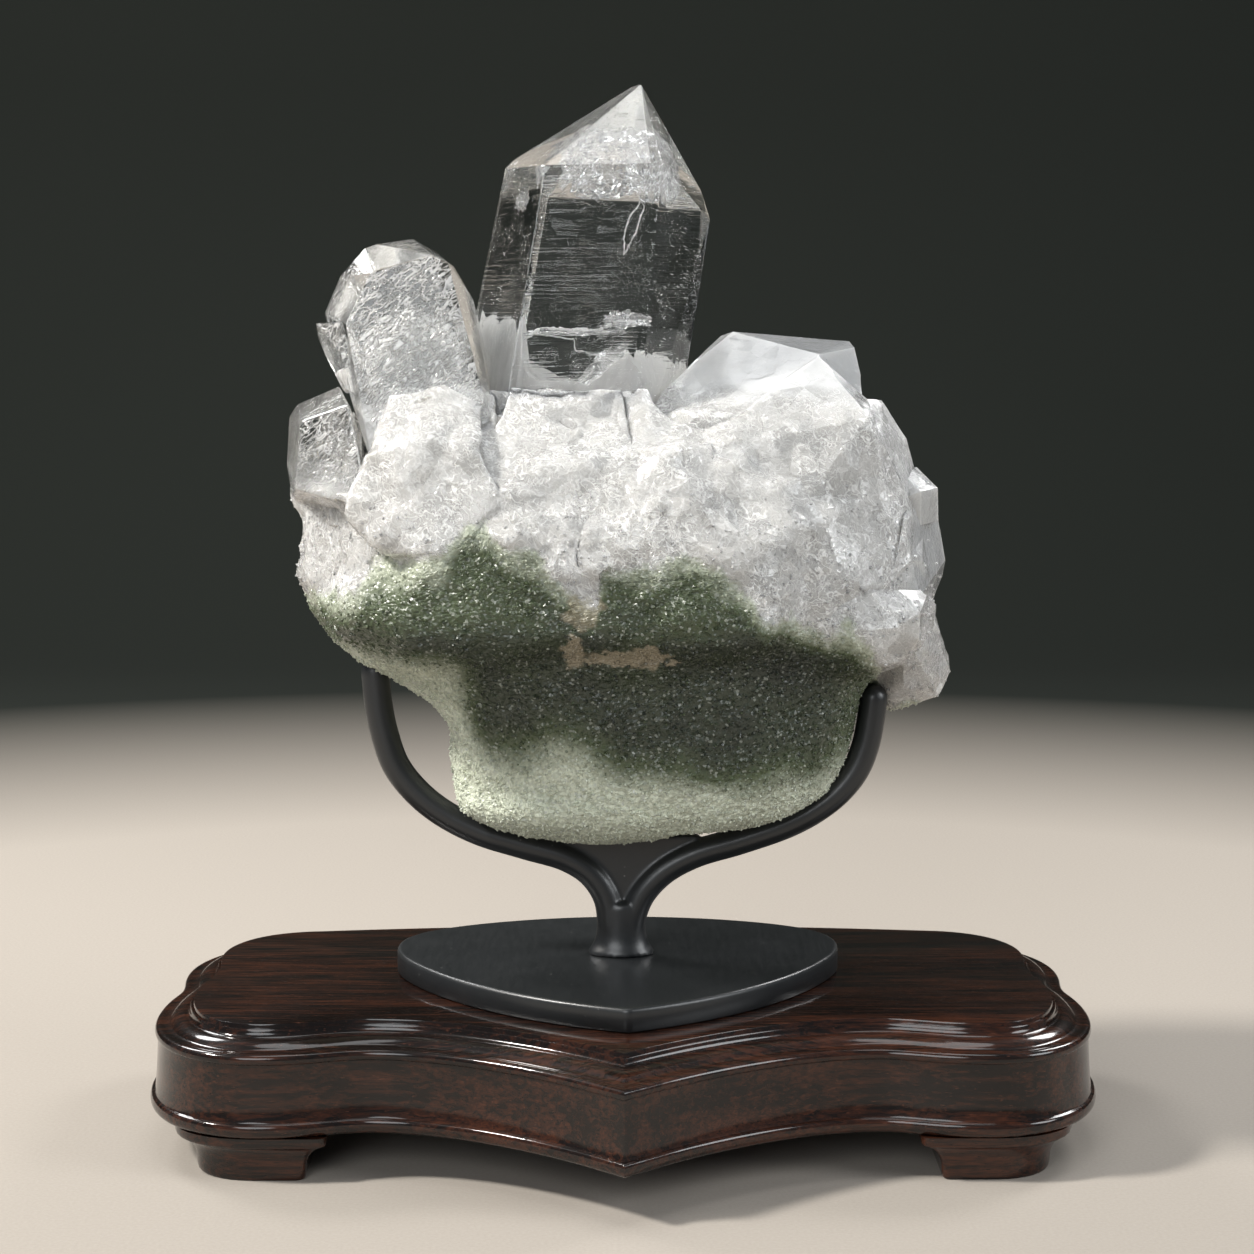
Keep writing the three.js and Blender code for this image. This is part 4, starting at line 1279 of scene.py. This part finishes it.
# Middle lines of the white threads near the front of the clear point
THREAD_LOOP = [
    (2.9, -11, 190.5), (0.4, -11.5, 187), (-0.6, -12, 183), (-0.8, -12, 179.6), (1.6, -12, 184),
    (3.3, -11, 188.8), (2.9, -11, 190.5),
]
THREAD_UPPER = [
    (-20.9, -13, 162.6), (-17.4, -13, 165.2), (-12, -13, 165), (-5.4, -13, 164.9), (-1.5, -13, 166.8),
    (4.1, -12, 165.7),
]
THREAD_LOWER = [
    (-17.5, -13, 164), (-10.6, -13, 163), (-10.4, -13, 160.8), (-5.6, -13, 159.9), (-1, -13, 158.4),
]


def growth_marks(random, count):
    """Short dashes across the right side of the clear point, which leans out as it rises."""
    marks = []
    for _ in range(count):
        share = random.random() ** 0.8
        z = 139 + 48 * random.random()
        rise = (z - 135) / 60
        start = np.array([1.4 + 5 * rise, -17.4 + 3 * rise, z])
        end = np.array([9.3 + 7 * rise, 2.2, z - 3])
        length = random.uniform(0.6, 2.6)
        place = start + (end - start) * share
        marks.append(dash(place, end - start, length, random.uniform(0.035, 0.075)))
    return marks


def specks(random, count):
    """Tiny slivers that float in the upper half of the clear point."""
    low, high = (-20, -12, 166), (2, 8, 188)
    made = []
    for _ in range(count):
        place = np.array([random.uniform(*span) for span in zip(low, high)])
        direction = random.normal(size=3)
        made.append(dash(place, direction, random.uniform(0.1, 0.28), random.uniform(0.04, 0.1)))
    return made


def clear_point_threads(material):
    """White threads, specks and growth marks in and on the clear point."""
    random = np.random.default_rng(91)
    threads = [thread(THREAD_LOOP, 0.14, 92), thread(THREAD_UPPER, 0.3, 93), thread(THREAD_LOWER, 0.13, 94)]
    points, faces = together(threads + growth_marks(random, 95) + specks(random, 110))
    add_mesh("clear_point_threads", points + HOLDER, faces, material, smooth=False)


# Stage, lights and camera
def studio(material):
    """A sheet of paper that lies on the floor and turns up behind into a wall."""
    front_end, flat_end, bend, wall_top, reach = -1400.0, 700.0, 300.0, 1700.0, 1800.0
    profile = [(front_end, 0.0), (flat_end, 0.0)]
    for degrees in range(6, 91, 6):
        turn = math.radians(degrees)
        profile.append((flat_end + bend * math.sin(turn), bend * (1 - math.cos(turn))))
    profile.append((flat_end + bend, wall_top))
    points = [(x, y, z) for y, z in profile for x in (-reach, reach)]
    faces = [(2 * i, 2 * i + 1, 2 * i + 3, 2 * i + 2) for i in range(len(profile) - 1)]
    add_mesh("paper", points, faces, material, stage=True)


def soft_box(name, place, target, size, power, colour=(1, 1, 1)):
    """A round soft lamp that points at its target; its power is in watts."""
    light = bpy.data.lights.new(name, "AREA")
    light.shape = "DISK"
    light.size = size * MM
    light.energy = power
    light.color = colour
    lamp = bpy.data.objects.new(name, light)
    lamp.location = Vector(place) * MM
    lamp.rotation_euler = (Vector(target) - Vector(place)).to_track_quat("-Z", "Y").to_euler()
    SCENE.collection.objects.link(lamp)


def lights():
    """A warm key light from the upper left, cooler fills around it and a dim sky."""
    middle, warm, cool = (0, 0, 110), (1.0, 0.97, 0.92), (0.95, 0.98, 1.0)
    soft_box("key", (-820, -160, 900), middle, 170, 19, warm)
    soft_box("front_fill", (-330, -1000, 520), middle, 600, 4.6, cool)
    soft_box("right_fill", (900, -350, 500), middle, 500, 5.0, cool)
    soft_box("back_left", (-420, 400, 560), middle, 220, 2.2)
    soft_box("back_right", (430, 380, 500), middle, 220, 2)
    soft_box("top", (0, 40, 1150), middle, 600, 3)
    world = bpy.data.worlds.new("studio")
    world.use_nodes = True
    sky = world.node_tree.nodes["Background"]
    sky.inputs["Color"].default_value = (0.72, 0.78, 0.85, 1)
    sky.inputs["Strength"].default_value = 0.2
    SCENE.world = world


def camera():
    """Looks down by 6.84 degrees from 538 mm, with a lens of 2600 px for a frame 1254 px wide."""
    target = HOLDER + [0, 0, 103.8]
    distance, pitch, azimuth = 538.0, math.radians(6.84), math.radians(-0.3)
    level = math.cos(pitch)
    away = np.array([math.sin(azimuth) * level, -math.cos(azimuth) * level, math.sin(pitch)])
    data = bpy.data.cameras.new("camera")
    data.sensor_fit = "HORIZONTAL"
    data.sensor_width = 36.0
    data.lens = data.sensor_width * 2600 / 1254
    data.clip_start = 0.01
    eye = bpy.data.objects.new("camera", data)
    eye.location = Vector((target + away * distance) * MM)
    eye.rotation_euler = Vector(-away).to_track_quat("-Z", "Y").to_euler()
    SCENE.collection.objects.link(eye)
    SCENE.camera = eye


steel = black_steel()
wood = dark_wood()
wooden_base(wood)
four_feet(wood)
metal_plate(steel)
welded_fork(steel)
mass = crystal_mass()
skin = stone_mass(mass)
crystal_skin(skin, mass)
clear_crystal("clear_point", CLEAR_POINT, sunk(CLEAR_CUTS, 2.0), clear_quartz(), 0.3)
frosted = frosted_quartz("frosted_quartz", 148.0)
glassy = frosted_quartz("glassy_bud", 133.0)
clear_crystal("frosted_crystal", FROSTED_CRYSTAL, sunk(FROSTED_CUTS, 2.0), frosted, 0.4)
clear_crystal("upper_bud", UPPER_BUD, sunk(UPPER_BUD_CUTS, 1.5), glassy, 0.4)
clear_crystal("lower_bud", LOWER_BUD, sunk(LOWER_BUD_CUTS, 1.5), glassy, 0.5)
clear_point_root(milky_root())
clear_point_cracks(fracture_sheen())
clear_point_threads(white_thread())
studio(floor_paper())
lights()
camera()
SCENE.view_settings.view_transform = "Standard"
